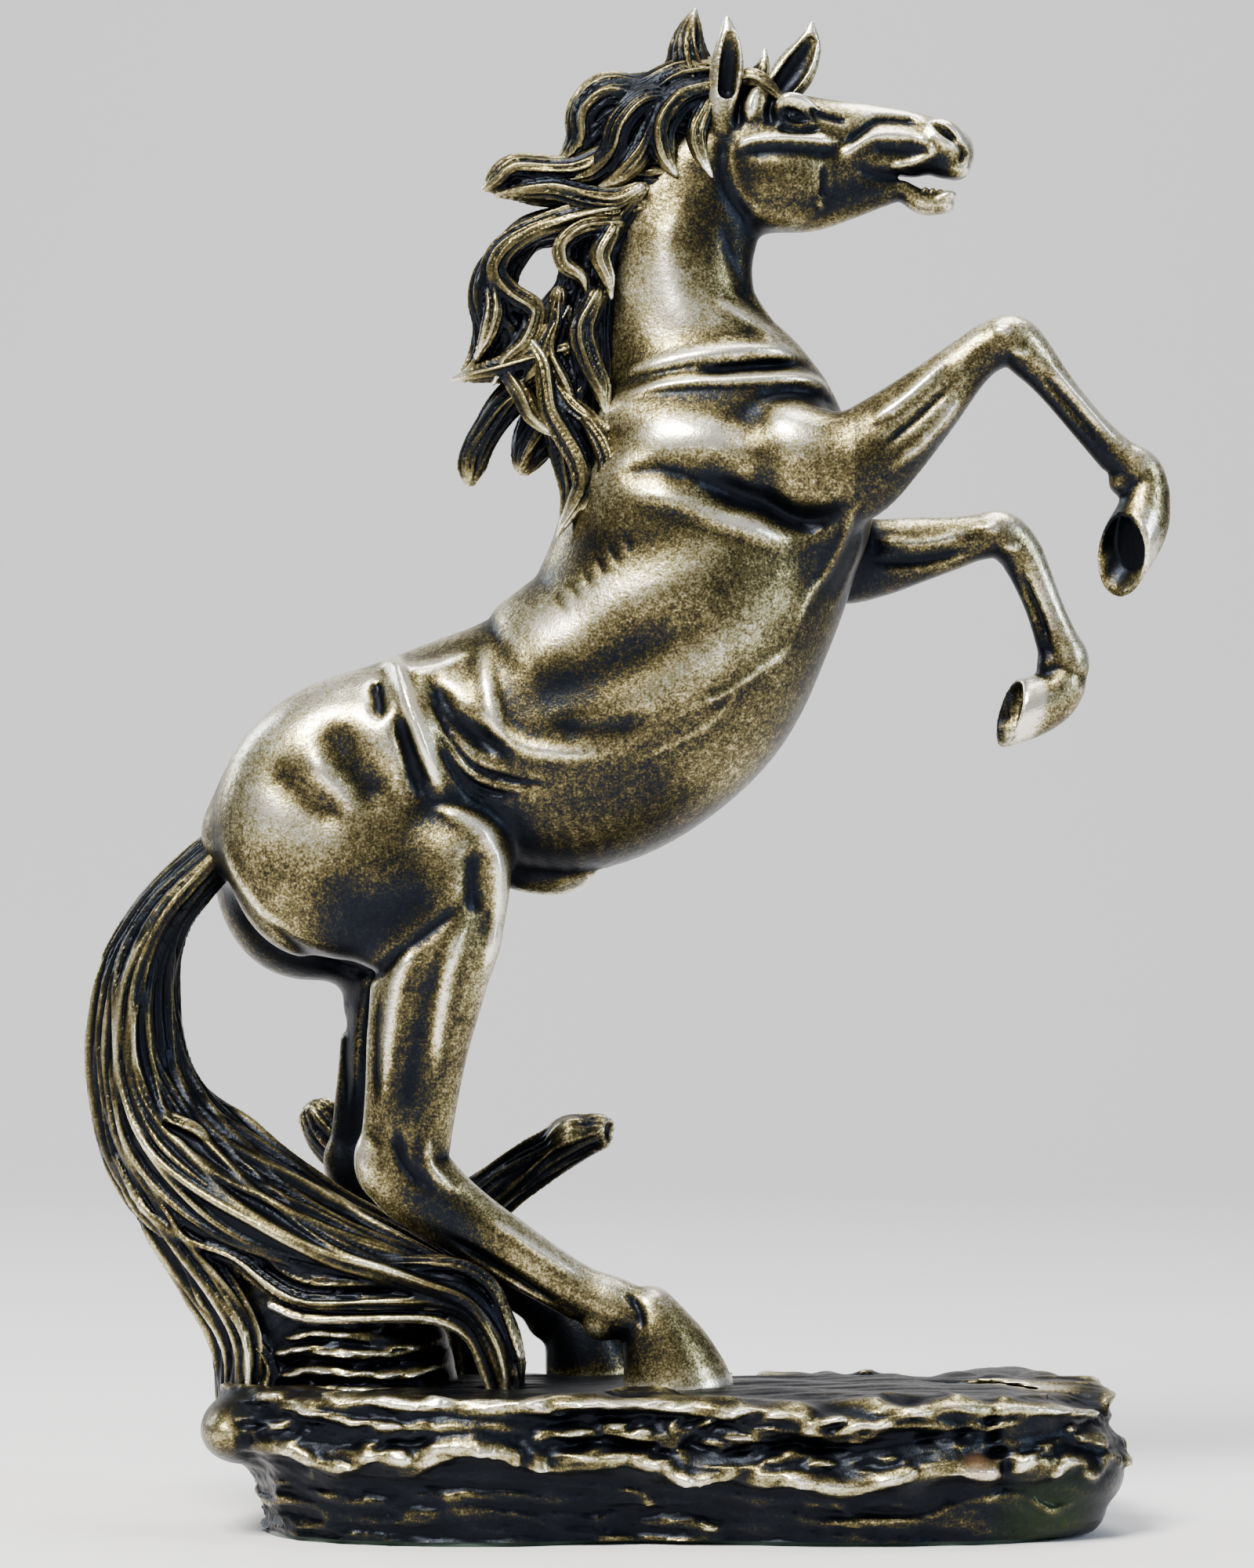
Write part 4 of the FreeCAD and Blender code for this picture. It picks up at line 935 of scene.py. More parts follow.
# Each piece of the mane: its locks, as (number of strands, spine). The thick first ones lie behind.
MANE = {
    "poll_tuft": [
        (9, [(16, 0, 356, 8, 7), (15, 0, 366, 7.4, 6.6), (15, 0, 374, 5, 5)]),
        (9, [(19, -2, 360, 5.5, 5.5), (17, -2, 368, 6.4, 5.6), (15.6, -2, 376, 5, 4.6),
             (16.4, -1, 382, 3, 3), (17.4, -1, 386.4, 0.7, 0.7)]),
        (6, [(16, 4, 360, 4, 4), (13, 5, 368, 3.4, 3.4), (14, 5, 374, 2, 2), (16, 5, 379, 0.5, 0.5)]),
    ],
    "crest_lock": [
        (15, [(20, 0, 356, 9, 8.6), (10, 0, 359.6, 10, 9), (0, 0, 359, 10.4, 8.6), (-7, 0, 354, 8.6, 7.4),
              (-12.6, 0, 348, 5, 5)]),
        (11, [(21, -3, 371, 3.4, 4.6), (13, -3, 369.4, 4.4, 5.6), (4, -3, 364.4, 5.2, 6),
              (-5, -3, 364.6, 5.4, 6), (-10.6, -3, 359.6, 4.8, 5.4), (-11.4, -3, 352.6, 4, 5),
              (-16.4, -3, 347, 2, 2.6)]),
        (8, [(12, -7, 363, 4, 3.6), (4, -8, 362, 4.4, 4), (-1.4, -8.4, 356, 4, 4),
             (-3.6, -8, 349.6, 3.6, 3.6), (-9, -7, 344.4, 2.8, 3), (-16, -5.6, 342.6, 1.2, 1.6)]),
        (8, [(20, -6, 366, 3.6, 3.6), (13, -8.6, 363, 4.2, 4), (8.4, -9.6, 356, 3.8, 3.8),
             (9, -9.8, 349, 3, 3), (12.4, -9.4, 343.6, 0.8, 1)]),
        (7, [(6, -8.6, 356, 3.4, 3.4), (3, -9.2, 349, 3.4, 3.4), (-2, -9.2, 343, 2.6, 2.8),
             (-7, -8.6, 340.4, 0.8, 1)]),
        (5, [(20, -7.6, 361, 2.4, 2.6), (17.4, -9.4, 354, 2.6, 2.6), (19, -9.6, 347.4, 1.8, 2),
             (21.6, -9.4, 343, 0.5, 0.6)]),
        (10, [(18, 5, 363, 4.5, 5), (8, 6, 364, 5, 5), (-1, 6.4, 359, 4.6, 5), (-6, 6, 351, 4, 4.6),
              (-13, 5, 344, 1.4, 2)]),
        (8, [(20, 8, 357, 3.6, 4), (10, 9, 352, 4.2, 4), (5, 9, 344, 4, 4), (1, 8, 337, 1.6, 2)]),
    ],
    "upper_curl": [
        (12, [(6, 0, 344, 10, 9), (-5, 0, 343, 8, 8), (-15, 0, 341.6, 6, 6.4), (-24, 0, 341, 4.6, 5),
              (-30, 0, 341.4, 3, 3.6)]),
        (8, [(-4, -5, 349, 4, 4.4), (-13, -5, 345, 4, 4.6), (-21, -4, 345, 3.8, 4.4),
             (-28.6, -4, 345.6, 3.6, 4), (-33, -4, 342.4, 3, 3.2), (-36.6, -4, 340, 0.7, 0.8)]),
        (6, [(3, -9.6, 340, 2, 2.6), (-3, -9.4, 337.4, 2.8, 3.2), (-10, -8.4, 338, 3.2, 3.4),
             (-18, -7, 340, 3.2, 3.4), (-26, -5.6, 339.6, 2.8, 3), (-33, -4.6, 338.8, 1, 1.4)]),
        (8, [(2, 5, 347, 5, 5), (-8, 5, 343, 4.4, 4.6), (-18, 4.4, 342, 4, 4), (-26, 3, 342, 2.4, 2.8)]),
    ],
    "middle_lock": [
        (12, [(4, 0, 336, 8, 9), (-6, 0, 334, 6.4, 8.6), (-16, 0, 331.6, 5, 7), (-25, 0, 329.6, 4.4, 6),
              (-31, 0, 325, 4, 5)]),
        (12, [(-24, 0, 330, 4, 6), (-32, 0, 321, 5.4, 7), (-33.6, 0, 311, 6, 7.4), (-29, 0, 303, 7.4, 7.6),
              (-33, 0, 296, 5, 6)]),
        (7, [(-4, -7, 334.6, 3.6, 4.4), (-14, -6.4, 333, 3.6, 4.4), (-24, -5.6, 329.6, 3.2, 4.2),
             (-31, -5, 325, 3.4, 4.2), (-33.6, -5, 319, 3.4, 4), (-29.6, -6, 313.6, 3, 3.4),
             (-24, -7, 310, 2.8, 3.2), (-23.6, -7.4, 306.6, 2.6, 3), (-26, -7.8, 301, 2.8, 3),
             (-31, -7.4, 296.6, 2, 2.4), (-34, -6.6, 290.6, 0.6, 0.7)]),
        (9, [(-27, -1, 326.6, 3.4, 5), (-34.4, -1, 320.6, 3.6, 5), (-37, -1, 313.6, 3.4, 5),
             (-35.4, -1, 306, 3.6, 5), (-36.4, -1, 299, 3.4, 4.6), (-40.6, -1.6, 294, 1.8, 2.2),
             (-44, -2, 291.8, 0.6, 0.7)]),
        (6, [(-35.6, -4, 318, 1.4, 2), (-33.4, -6, 311, 2.6, 3.4), (-34.6, -6.4, 304, 3, 3.6),
             (-38, -5, 297.6, 1.2, 1.6)]),
        (8, [(3, 5, 334, 5, 5), (-10, 5, 334, 4.6, 5), (-22, 4, 330, 4, 4.4), (-30, 3, 324, 3, 3.4),
             (-33, 2, 315, 1.6, 2)]),
    ],
    "crest_fall": [
        (17, [(2, 0, 338, 9, 9.6), (-5, 0, 328, 8, 10), (-8, 0, 318, 7.6, 10.6), (-10, 0, 306, 9.4, 11.4),
              (-11, 0, 294, 11, 12.4), (-12, 0, 283, 9, 12)]),
        (12, [(-8, 0, 333, 4, 8), (-12.4, 0, 325, 4.4, 8), (-13.4, 0, 315, 5, 8.4), (-18, 0, 305, 7, 8.6),
              (-17, 0, 296, 7, 8)]),
        (5, [(-3, -9, 331, 2.6, 3.2), (-11, -9.4, 330, 2.6, 3.2), (-16, -9, 326, 2.4, 3.2),
             (-15.6, -9.6, 321, 2.2, 2.8), (-11.4, -11, 317.6, 1.8, 2.2), (-10.2, -11.6, 313.6, 0.6, 0.8)]),
        (5, [(-4, -10.4, 329, 2.4, 2.8), (-7, -11, 323, 2.4, 2.6), (-5, -11.6, 317, 1.6, 2),
             (-4, -12, 312, 0.5, 0.7)]),
        (7, [(-8, -11, 312, 3.2, 3.6), (-11.4, -11.6, 304, 3.4, 3.8), (-9.4, -12.4, 296, 3.2, 3.6),
             (-6.4, -13.6, 289, 2.6, 3), (-5.4, -15, 283, 0.8, 1)]),
        (8, [(-17, -8, 313, 2.6, 4), (-17.6, -8, 305.6, 3.2, 4.4), (-19, -8, 298.6, 3.2, 4),
             (-15.4, -10, 291, 3, 4), (-13, -11, 284.6, 1.6, 2)]),
        (13, [(-4, 4, 333, 6, 5.5), (-8, 5, 321, 6, 5.5), (-10, 6, 308, 6, 6), (-11, 6, 295, 6, 6),
              (-11, 6, 282, 3, 4)]),
        (8, [(0, 10, 334, 4, 4), (-4, 11, 322, 4, 4), (-3, 13, 310, 4, 4), (-7, 14, 298, 4, 4),
             (-5, 15, 288, 1.4, 1.6)]),
    ],
    "lower_curl": [
        (10, [(-12, 0, 300, 7, 8), (-22, 0, 299, 7.4, 7), (-31, 0, 297, 5.6, 5.6), (-37, 0, 295, 3.4, 3.6)]),
        (7, [(-16, -8, 299.6, 3, 3.6), (-25, -7, 297, 3.4, 3.8), (-33, -6, 294.4, 3.2, 3.4),
             (-39, -4.6, 293, 2.2, 2.6), (-44.4, -4, 291.8, 0.6, 0.7)]),
        (5, [(-30, -6.4, 293, 2.4, 3), (-26.6, -8, 288, 2.6, 3), (-24, -9, 282.6, 2.4, 2.8),
             (-20, -9.6, 279, 1.6, 2), (-16.4, -9.6, 277, 0.5, 0.6)]),
        (5, [(-15.6, -8.4, 309, 2, 2.6), (-19, -8.6, 303, 3, 3.4), (-22, -8.6, 296, 3, 3.4),
             (-27.6, -8, 289.6, 0.8, 1)]),
    ],
    "hanging_lock": [
        (8, [(-22, 0, 292, 5, 5.6), (-30, 0, 286.6, 4.6, 5), (-35.4, 0, 279.6, 4, 4.4),
             (-38.8, 0, 273.6, 4, 4.2), (-39.8, 0, 269.8, 3.8, 3.8), (-40, 0, 266.6, 2, 2)]),
        (9, [(-14, 3, 290, 7, 7), (-21, 3.4, 281, 6.4, 6.6), (-24.6, 3.6, 274.6, 5.2, 5.6),
             (-26.4, 3.6, 270.6, 3, 3.4)]),
    ],
    "side_lock": [
        (6, [(-24, -8, 301, 1.6, 2.2), (-21, -10, 296, 2.6, 3), (-20, -11, 290, 2.8, 3.2),
             (-19, -12, 283.6, 3, 3.2), (-15.4, -13, 277, 3.4, 3.4), (-12, -14.4, 270.6, 3.2, 3.2),
             (-11, -15, 264.4, 2.8, 3), (-13, -15, 259.4, 2.4, 2.6), (-16, -14, 254.6, 1.4, 1.8),
             (-17.6, -13, 251.6, 0.5, 0.5)]),
        (4, [(-17, -11, 289, 1.4, 1.8), (-14, -12, 284.6, 2.2, 2.6), (-9.6, -14, 281.2, 2.2, 2.6),
             (-4.4, -16.6, 278.6, 0.6, 0.8)]),
        (6, [(-10, -14, 281, 2.2, 2.6), (-6, -16, 275, 3, 3), (-4.4, -17.4, 269, 3, 2.8),
             (-6.6, -17.6, 263.4, 2.4, 2.4), (-11, -16.6, 258.6, 0.8, 1)]),
    ],
    "withers_lock": [
        (13, [(-10, -4, 292, 7, 8), (-15, -4, 283, 6.4, 8), (-14.4, -4, 273, 5.6, 7.6),
              (-13, -5, 264, 4.6, 6), (-15, -5, 256, 2.6, 3.2), (-18, -5, 249.6, 0.6, 0.8)]),
        (10, [(-8, 7, 291, 5, 6), (-12, 9, 280, 4.6, 5.6), (-8, 11, 270, 4.2, 5), (-7, 12, 261, 3, 3.6),
              (-11, 12, 254, 0.8, 1)]),
    ],
    "forelock": [
        (7, [(24, 0, 364, 4, 5), (29.6, 0, 367, 3.6, 4.6), (33.6, 0, 369.6, 2.6, 3.4), (35, 0, 373, 1.4, 2),
             (35.2, 0, 376.6, 0.5, 0.5)]),
        (5, [(27, -4, 368, 2, 2.4), (32, -6, 368.6, 2.2, 2.4), (36.6, -7, 365.6, 1.8, 2),
             (39.4, -7.6, 362.6, 0.6, 0.7)]),
    ],
}


def sculpt_mane(clay, name):
    for i, (number, spine) in enumerate(MANE[name]):
        lock(clay, spine, round(MANE_FINENESS * number), seed=len(name) * 17 + i, fineness=1.15)


TAIL = [
    (-99, 0, 176, 5.4, 6.6), (-103, 0, 172, 5.8, 7.6), (-109.4, 0, 166, 6.2, 8.2),
    (-118.6, 0, 155, 7.4, 9.4), (-124.4, 0, 141, 9.6, 10.6), (-125.6, 0, 126, 11.6, 12),
    (-123.6, 0, 112, 13.4, 13.4), (-117, -2, 98, 16.4, 15.6), (-104, -4, 85.6, 18, 18.4),
    (-89, -6, 77, 16.6, 20.4), (-74, -8, 71, 12.8, 21), (-60, -10, 67, 9.4, 20.4),
    (-49, -11, 63, 7.4, 20), (-39.6, -12, 58.6, 6.2, 19.6), (-33.4, -12, 50, 5.2, 19.4),
    (-31, -12, 42, 4.6, 19), (-30.4, -12, 36, 4.6, 18.6),
]
# The outer sheet of hair, which stands on the base behind the rest
OUTER_SHEET = [
    (-121, -3, 88, 8, 12), (-112, -4, 74, 9, 14), (-103, -4, 62, 10, 16), (-96, -4, 49, 9.6, 18),
    (-96, -4, 34, 9, 19),
]
# The lip of the lowest sheet of hair, on the left side of the tail
LIP = [
    (-129, 5, 93), (-122, 10, 81), (-111, 14, 73.6), (-99, 17, 69.6), (-88, 21, 62), (-79, 23.4, 59),
    (-62, 24.6, 59), (-47, 25, 58.6), (-38, 25.4, 54), (-34, 25.6, 45), (-30.6, 25.6, 36),
]
# Locks along the lip: how far they are moved, the point of it that they start at, and their half depth
LIP_LOCKS = [(0, 0, 0, 2.4), (1.6, 5, 1, 1.8), (3.4, 9.6, 2, 1.9), (-1.6, -4, 4, 1.3)]
# A knot where one lock crosses the others, and the groove in it
KNOT = [
    (-126, -9, 116, 1.6, 1.6), (-121, -12.6, 108, 2.2, 2), (-115, -14.6, 103.4, 2.6, 2.2),
    (-109, -15, 101, 2.6, 2.2), (-104.6, -15, 97.6, 1, 1),
]
KNOT_GROOVE = [(-117, -15.6, 103, 0.8, 1.2), (-112, -17, 100.4, 1.2, 1.6), (-108, -17, 98.4, 0.6, 1)]


def sculpt_tail(clay):
    lock(clay, TAIL, 36, seed=7, sway=0.1, fineness=2.6)
    wider = [(x, y, z, depth * 1.03, width * 1.02) for x, y, z, depth, width in TAIL]
    lock(clay, wider, 15, seed=19, sway=0.2, fineness=1.2)
    lock(clay, OUTER_SHEET, 20, seed=23, sway=0.15, fineness=1.8)
    for side, shift in ((NEAR_SIDE, -1), (FAR_SIDE, -6)):
        for dx, dz, first, depth in LIP_LOCKS:
            edge = [(x + dx, side * y + shift, z + dz, depth, 1.5 * depth) for x, y, z in LIP[first:]]
            lock(clay, edge, 5, seed=31 + first)
    lock(clay, KNOT, 5, seed=3)
    clay.tube(KNOT_GROOVE, blend=0.6, carve=True)


# ================================================================ driftwood and base
BASE_OUTLINE = [
    (-106, -14), (-96, -38), (-72, -52), (-40, -57.5), (0, -54), (40, -57.5), (84, -54), (112, -44),
    (127, -20), (122, 6), (114, 32), (92, 50), (50, 57.5), (0, 54), (-46, 57.5), (-84, 44), (-102, 18),
]
BASE_MIDDLE_X = 11.0
# How far the top has fallen at the back edge, and at the right end in front
BACK_FALL = 4.5
END_FALL = 7
# The ledge's waves, and how deep and how high up and down its lip is worn away here and there
LEDGE_WAVE = 2.0
WORN_DEPTH = 2.4
WORN_HEIGHT = 3.4
# The side's field grows by this much for each millimetre outwards, since the side is slanted
SIDE_SLOPE = 0.8
# The height of the ledge round the base, along its length
LEDGE = [
    (-106, 24), (-93, 26), (-79, 22.5), (-71, 20.5), (-56, 22.5), (-38, 24.5), (-28, 21), (0, 20),
    (12, 17.5), (28, 18), (48, 16), (70, 17.5), (82, 20), (90, 17.5), (104, 21), (118, 19), (130, 20),
]
# How far the side stands in at each height above or below the ledge
SIDE_LEVELS = [-21, -15, -8, -3.4, -1.2, 0.8, 4.5, 10, 14.5, 17.5, 22]
SIDE_INSETS = [14, 13, 11, 8, 1.4, 0.6, 4.4, 5.4, 3, 4.6, 18]
BASE_STROKES = [
    ([(-44, 34.4), (-20, 35.4), (5, 35), (25, 34), (46, 33.4), (66, 33), (86, 34)], 1.5, 1.7),
    ([(40, 30.4), (53, 29.6), (66, 31.4)], 3.0, 2.2),
    ([(-28, 26.4), (-14, 28.4), (-2, 29.8), (8, 28.4)], 1.5, 2.6),
    ([(-88, 35), (-74, 32), (-60, 30.6), (-46, 32.4)], 1.3, 2.2),
    ([(-22, 31.6), (0, 33), (14, 32), (30, 30)], 1.6, -2.4),
    ([(8, 26.6), (24, 25), (44, 25.6), (62, 23.6)], 1.8, -2.6),
    ([(-24, 24.4), (-6, 25.4), (14, 23.6)], 1.4, -2.0),
    ([(20, 28.4), (32, 27), (42, 28)], 1.0, 1.8),
    ([(30, 22.4), (52, 21.4), (72, 23.6)], 1.0, 1.8),
    ([(66, 29), (76, 27.4), (86, 29.6)], 1.4, -2.2),
    ([(-72, 27), (-60, 25.6), (-46, 27.6)], 1.4, -2.2),
    ([(-98, 31), (-88, 29.6), (-76, 27.6)], 1.2, 1.6),
    # the cleft before the boulder at the right end, and the boulder's veins
    ([(91, 36), (90, 28), (93, 20), (90, 12)], 2.2, -2.6),
    ([(96, 18), (102, 24), (109, 22), (104, 14)], 1.2, 1.6),
    ([(108, 31), (114, 26), (122, 24)], 1.3, 1.6),
    ([(99, 12), (106, 8), (112, 10)], 1.2, 1.2),
]
# The broken chunk at the right end, and the cleft that parts it from the boulder
CHUNK = [(82, 30, 31, 4, 12), (94, 28, 33, 4.4, 14), (108, 24, 32, 4.4, 13), (116, 20, 28, 3, 9)]
CLEFT = [
    (76, -6, 38.6, 1.4, 2), (90, -11, 36, 2.4, 3.2), (108, -10, 32, 2.8, 3.6), (125, -7, 27, 2.6, 3.4),
]
CHUNK_LUMPS = [(84, 16, 35), (95, 6, 35.6), (106, 16, 35), (100, 30, 35), (113, 6, 31.6)]


def base_radius(turn):
    """The distance from the base's middle to its outline, at each angle round it."""
    outline = smooth_path(BASE_OUTLINE + BASE_OUTLINE[:1], 6)
    turns = np.arctan2(outline[:, 1], outline[:, 0] - BASE_MIDDLE_X)
    radii = np.hypot(outline[:, 1], outline[:, 0] - BASE_MIDDLE_X)
    order = np.argsort(turns)
    return np.interp(turn, turns[order], radii[order], period=2 * math.pi).astype(np.float32)


def base_side(x, y, z, beyond):
    """The distance from the base's stepped side. beyond is how far each place lies outside the outline."""
    ledge = np.interp(x, *zip(*LEDGE)) + LEDGE_WAVE * ripple(x, y, 0 * z, (22, 22, 1), seed=6)
    inset = np.interp(z - ledge, SIDE_LEVELS, SIDE_INSETS)
    worn = np.clip(ripple(x, y, 0 * z, (15, 15, 1), seed=21), 0, 1)
    inset = inset + WORN_DEPTH * worn * np.exp(-((z - ledge) / WORN_HEIGHT) ** 2)
    return (beyond + inset.astype(np.float32)) * SIDE_SLOPE


def base_top(x, y, z):
    """The height above the base's uneven top, which falls away behind, and at the right end in front."""
    fall = BACK_FALL * ramp_up(y, 4, 44) + END_FALL * ramp_up(x, 94, 120) * ramp_up(-y, 0, 24)
    grown = 0.6 * ripple(x, y, 0 * z, (70, 30, 1), seed=8) + 0.4 * ripple(x, y, 0 * z, (60, 8, 1), seed=9)
    return (z - (BASE_TOP + 0.4 + grown - fall)).astype(np.float32)


def base_roughness(x, y, z):
    """The grain and cracks that run along the base's side."""
    grain = ripple(x, y, z, (46, 46, 7), seed=11)
    cracks = np.clip(1 - np.abs(ripple(x, y, z, (60, 60, 9), seed=12)), 0, 1) ** 4
    return 0.9 * grain - 1.1 * cracks + 0.35 * ripple(x, y, z, (16, 16, 3), seed=13)


def base_dashes():
    """A dozen short strokes low on the side."""
    for i in range(12):
        x = -94 + 16.4 * i + 6 * math.sin(5 * i)
        z = 9 + 5.4 * math.sin(2.4 * i)
        length = 9 + 6 * math.sin(1.7 * i)
        yield [(x, z), (x + length / 2, z + math.sin(3.1 * i)), (x + length, z - 0.6)], 0.9, 0.9


def sculpt_base(clay):
    x, y, z = clay.axes
    out_x = x - BASE_MIDDLE_X
    beyond = np.sqrt(out_x**2 + y**2) - base_radius(np.arctan2(y, out_x))
    field = -melted(-base_side(x, y, z, beyond), -base_top(x, y, z), 3.0)
    field = field + ramp_up(beyond, -26, -16) * base_roughness(x, y, z)
    clay.field = np.minimum(clay.field, field).astype(np.float32)
    # the lump at the left end, the boulder at the right end, and the broken chunk behind a cleft in it
    clay.blob((-95.6, -14, 27), (10.6, 25, 9.6), yaw=-12, blend=4)
    clay.blob((106, -22, 19), (19, 22, 13), tilt=-20, yaw=-30, blend=4)
    clay.blob((101, -20, 8), (19, 22, 9), tilt=-10, yaw=-25, blend=4)
    clay.tube(CHUNK, blend=2)
    for i, lump in enumerate(CHUNK_LUMPS):
        clay.blob(lump, (7 - 0.6 * i, 6, 2.6), tilt=8 * (-1) ** i, yaw=35 * i, blend=0.8)
    clay.tube(CLEFT, blend=0.8, carve=True)
    relief = Relief(clay)
    relief.paint(BASE_STROKES, fade=0.2)
    relief.paint(base_dashes())
    relief.break_up((15, 1, 5), seed=33)
    # the strokes die out a little way in from the outline
    clay.field -= relief.height[:, None, :] * ramp_up(beyond, -18, -10).astype(np.float32)


# The stump leans back as it rises; a root twists down behind it, and another beside that one
STUMP = [
    (-67, -2, 28, 25, 25), (-69, -2, 40, 24.6, 24), (-74, -2, 50, 23.4, 22.6), (-84, -2, 61, 19, 19),
    (-92, -2, 70, 14, 14),
]
TWISTING_ROOT = [
    (-108, -6, 58, 2, 2.4), (-100, -12, 52, 3.4, 3), (-93, -16, 47, 3.8, 3.4), (-90, -17, 41, 4, 3.6),
    (-92, -18, 34, 4.4, 4),
]
HIDDEN_ROOT = [(-104, 4, 54, 4, 5), (-97, 4, 46, 4, 6), (-93, 4, 36, 4, 6)]
# Shelves of wood under the tail
STUMP_SHELVES = [
    ([(-92, 44), (-82, 47), (-64, 45.6), (-44, 49.4)], 1.3, 2.8),
    ([(-90, 49), (-76, 51), (-64, 49)], 1.0, 2.0),
    ([(-92, 38.6), (-78, 41.6), (-64, 40)], 1.2, 2.4),
    ([(-70, 42), (-58, 40), (-44, 42.6)], 1.0, 2.0),
    ([(-82, 54), (-68, 55), (-56, 53.4)], 1.2, 2.0),
    ([(-86, 35.8), (-72, 37), (-50, 36.4)], 1.2, 2.2),
]


def sculpt_stump(clay):
    clay.tube(STUMP, blend=2)
    relief = Relief(clay)
    for points, width, height in STUMP_SHELVES:
        relief.stroke(points, width, height, fade=0.25)
        # a dark gap under each shelf
        relief.stroke(moved(points, 2, -2 * width), width, -0.9 * height, fade=0.25)
    relief.break_up((12, 1, 4), seed=35)
    clay.emboss(relief)
    lock(clay, TWISTING_ROOT, 7, seed=61)
    lock(clay, HIDDEN_ROOT, 7, seed=62)


# The log stands on the base behind the horse and forks into two limbs
LOG_FOOT = [(-43, 38, 33, 10, 9), (-45, 38, 44, 8.8, 8), (-48, 38, 58, 8, 7.4), (-48, 38, 72, 7.8, 7)]
FRONT_LIMB = [
    (-51, 38, 64, 7, 6.4), (-41, 38, 77, 7.4, 6.8), (-28, 37, 87.4, 6.8, 6.2), (-16, 36, 94.6, 5.8, 5.4),
    (-8.6, 36, 98, 5.4, 5), (-6.6, 36, 98.6, 4.4, 4.2),
]
BACK_LIMB = [
    (-45, 38, 68, 7, 6.4), (-56, 38, 78, 7.2, 6.6), (-68, 38, 89, 7.2, 6.6), (-77, 38, 98, 7, 6.4),
    (-80, 38, 101.6, 6, 5.6),
]


def sculpt_log(clay):
    lock(clay, LOG_FOOT, 13, seed=81)
    lock(clay, FRONT_LIMB, 12, seed=82)
    lock(clay, BACK_LIMB, 12, seed=83)
    # a knuckle near the front limb's end, and the hollow in its end
    clay.blob((-15.6, 34, 98.4), (4.6, 4, 3.6), tilt=30, blend=3)
    clay.blob((-4, 34, 98.4), (2, 3.4, 3.2), blend=0.8, carve=True)


# ================================================================ materials
class Nodes:
    """A material's node tree, with one call per node. place is each point's place in metres."""

    def __init__(self, name):
        self.material = bpy.data.materials.new(name)
        self.material.use_nodes = True
        self.tree = self.material.node_tree
        self.shader = self.tree.nodes["Principled BSDF"]
        self.place = self.add("TexCoord").outputs["Object"]

    def add(self, kind, inputs=(), **settings):
        node = self.tree.nodes.new("ShaderNode" + kind)
        for key, value in settings.items():
            setattr(node, key, value)
        for key, value in dict(inputs).items():
            if isinstance(value, bpy.types.NodeSocket):
                self.tree.links.new(value, node.inputs[key])
            else:
                node.inputs[key].default_value = value
        return node

    def maths(self, operation, first, second):
        return self.add("Math", {0: first, 1: second}, operation=operation).outputs[0]

    def total(self, *terms):
        """The sum of terms, each a value or (value, factor)."""
        result = None
        for term in terms:
            value = self.maths("MULTIPLY", *term) if isinstance(term, tuple) else term
            result = value if result is None else self.maths("ADD", result, value)
        return result

    def attribute(self, name):
        return self.add("Attribute", attribute_name=name).outputs["Fac"]

    def parts(self, vector):
        """A vector's X, Y and Z."""
        return self.add("SeparateXYZ", {"Vector": vector}).outputs

    def noise(self, scale, detail=2.0, roughness=0.5):
        inputs = {"Vector": self.place, "Scale": scale, "Detail": detail, "Roughness": roughness}
        return self.add("TexNoise", inputs).outputs["Fac"]

    def ramp(self, factor, stops):
        ramp = self.add("ValToRGB", {"Fac": factor})
        elements = ramp.color_ramp.elements
        while len(elements) < len(stops):
            elements.new(0.5)
        for element, (position, colour) in zip(elements, stops):
            element.position = position
            element.color = (*colour, 1)
        return ramp.outputs["Color"]

    def level(self, factor, low, high):
        """A factor from 0 to 1 turned into a value from low to high."""
        return self.add("MapRange", {"Value": factor, "To Min": low, "To Max": high}).outputs["Result"]

    def between(self, value, start, end):
        """0 up to one value and 1 beyond another, with a slope between them."""
        return self.add("MapRange", {"Value": value, "From Min": start, "From Max": end}).outputs["Result"]

    def bump(self, height, strength, distance):
        node = self.add("Bump", {"Height": height, "Strength": strength, "Distance": distance})
        self.feed("Normal", node.outputs["Normal"])

    def feed(self, socket, value):
        """Give the shader a value, or another node's output."""
        if isinstance(value, bpy.types.NodeSocket):
            self.tree.links.new(value, self.shader.inputs[socket])
        else:
            self.shader.inputs[socket].default_value = value


# Patina from the deepest recess to the most rubbed crest
PATINA = [
    (0.0, (0.002, 0.003, 0.006)),
    (0.3, (0.005, 0.007, 0.011)),
    (0.45, (0.022, 0.019, 0.01)),
    (0.62, (0.1, 0.081, 0.032)),
    (0.8, (0.35, 0.31, 0.17)),
    (1.0, (0.84, 0.8, 0.66)),
]
# Slopes between two places: down to the legs, forward to the muzzle and forelegs, up to the ears, in to the
# insides of the hind legs, and down from the belly to them. The last two place the painted shade between
# the hind legs
TO_LEGS = (0.15, 0.11)
TO_FRONT = (0.04, 0.08)
TO_EARS = (0.361, 0.368)
INWARD = (0.021, 0.014)
UNDER_BELLY = (0.175, 0.145)


def slimness(n):
    """1 on the legs and the front of the horse, and more on the ears."""
    at = n.parts(n.place)
    ends = n.maths("MAXIMUM", n.between(at["Z"], *TO_LEGS), n.between(at["X"], *TO_FRONT))
    return n.maths("MAXIMUM", ends, n.maths("MULTIPLY", n.between(at["Z"], *TO_EARS), 2.4))


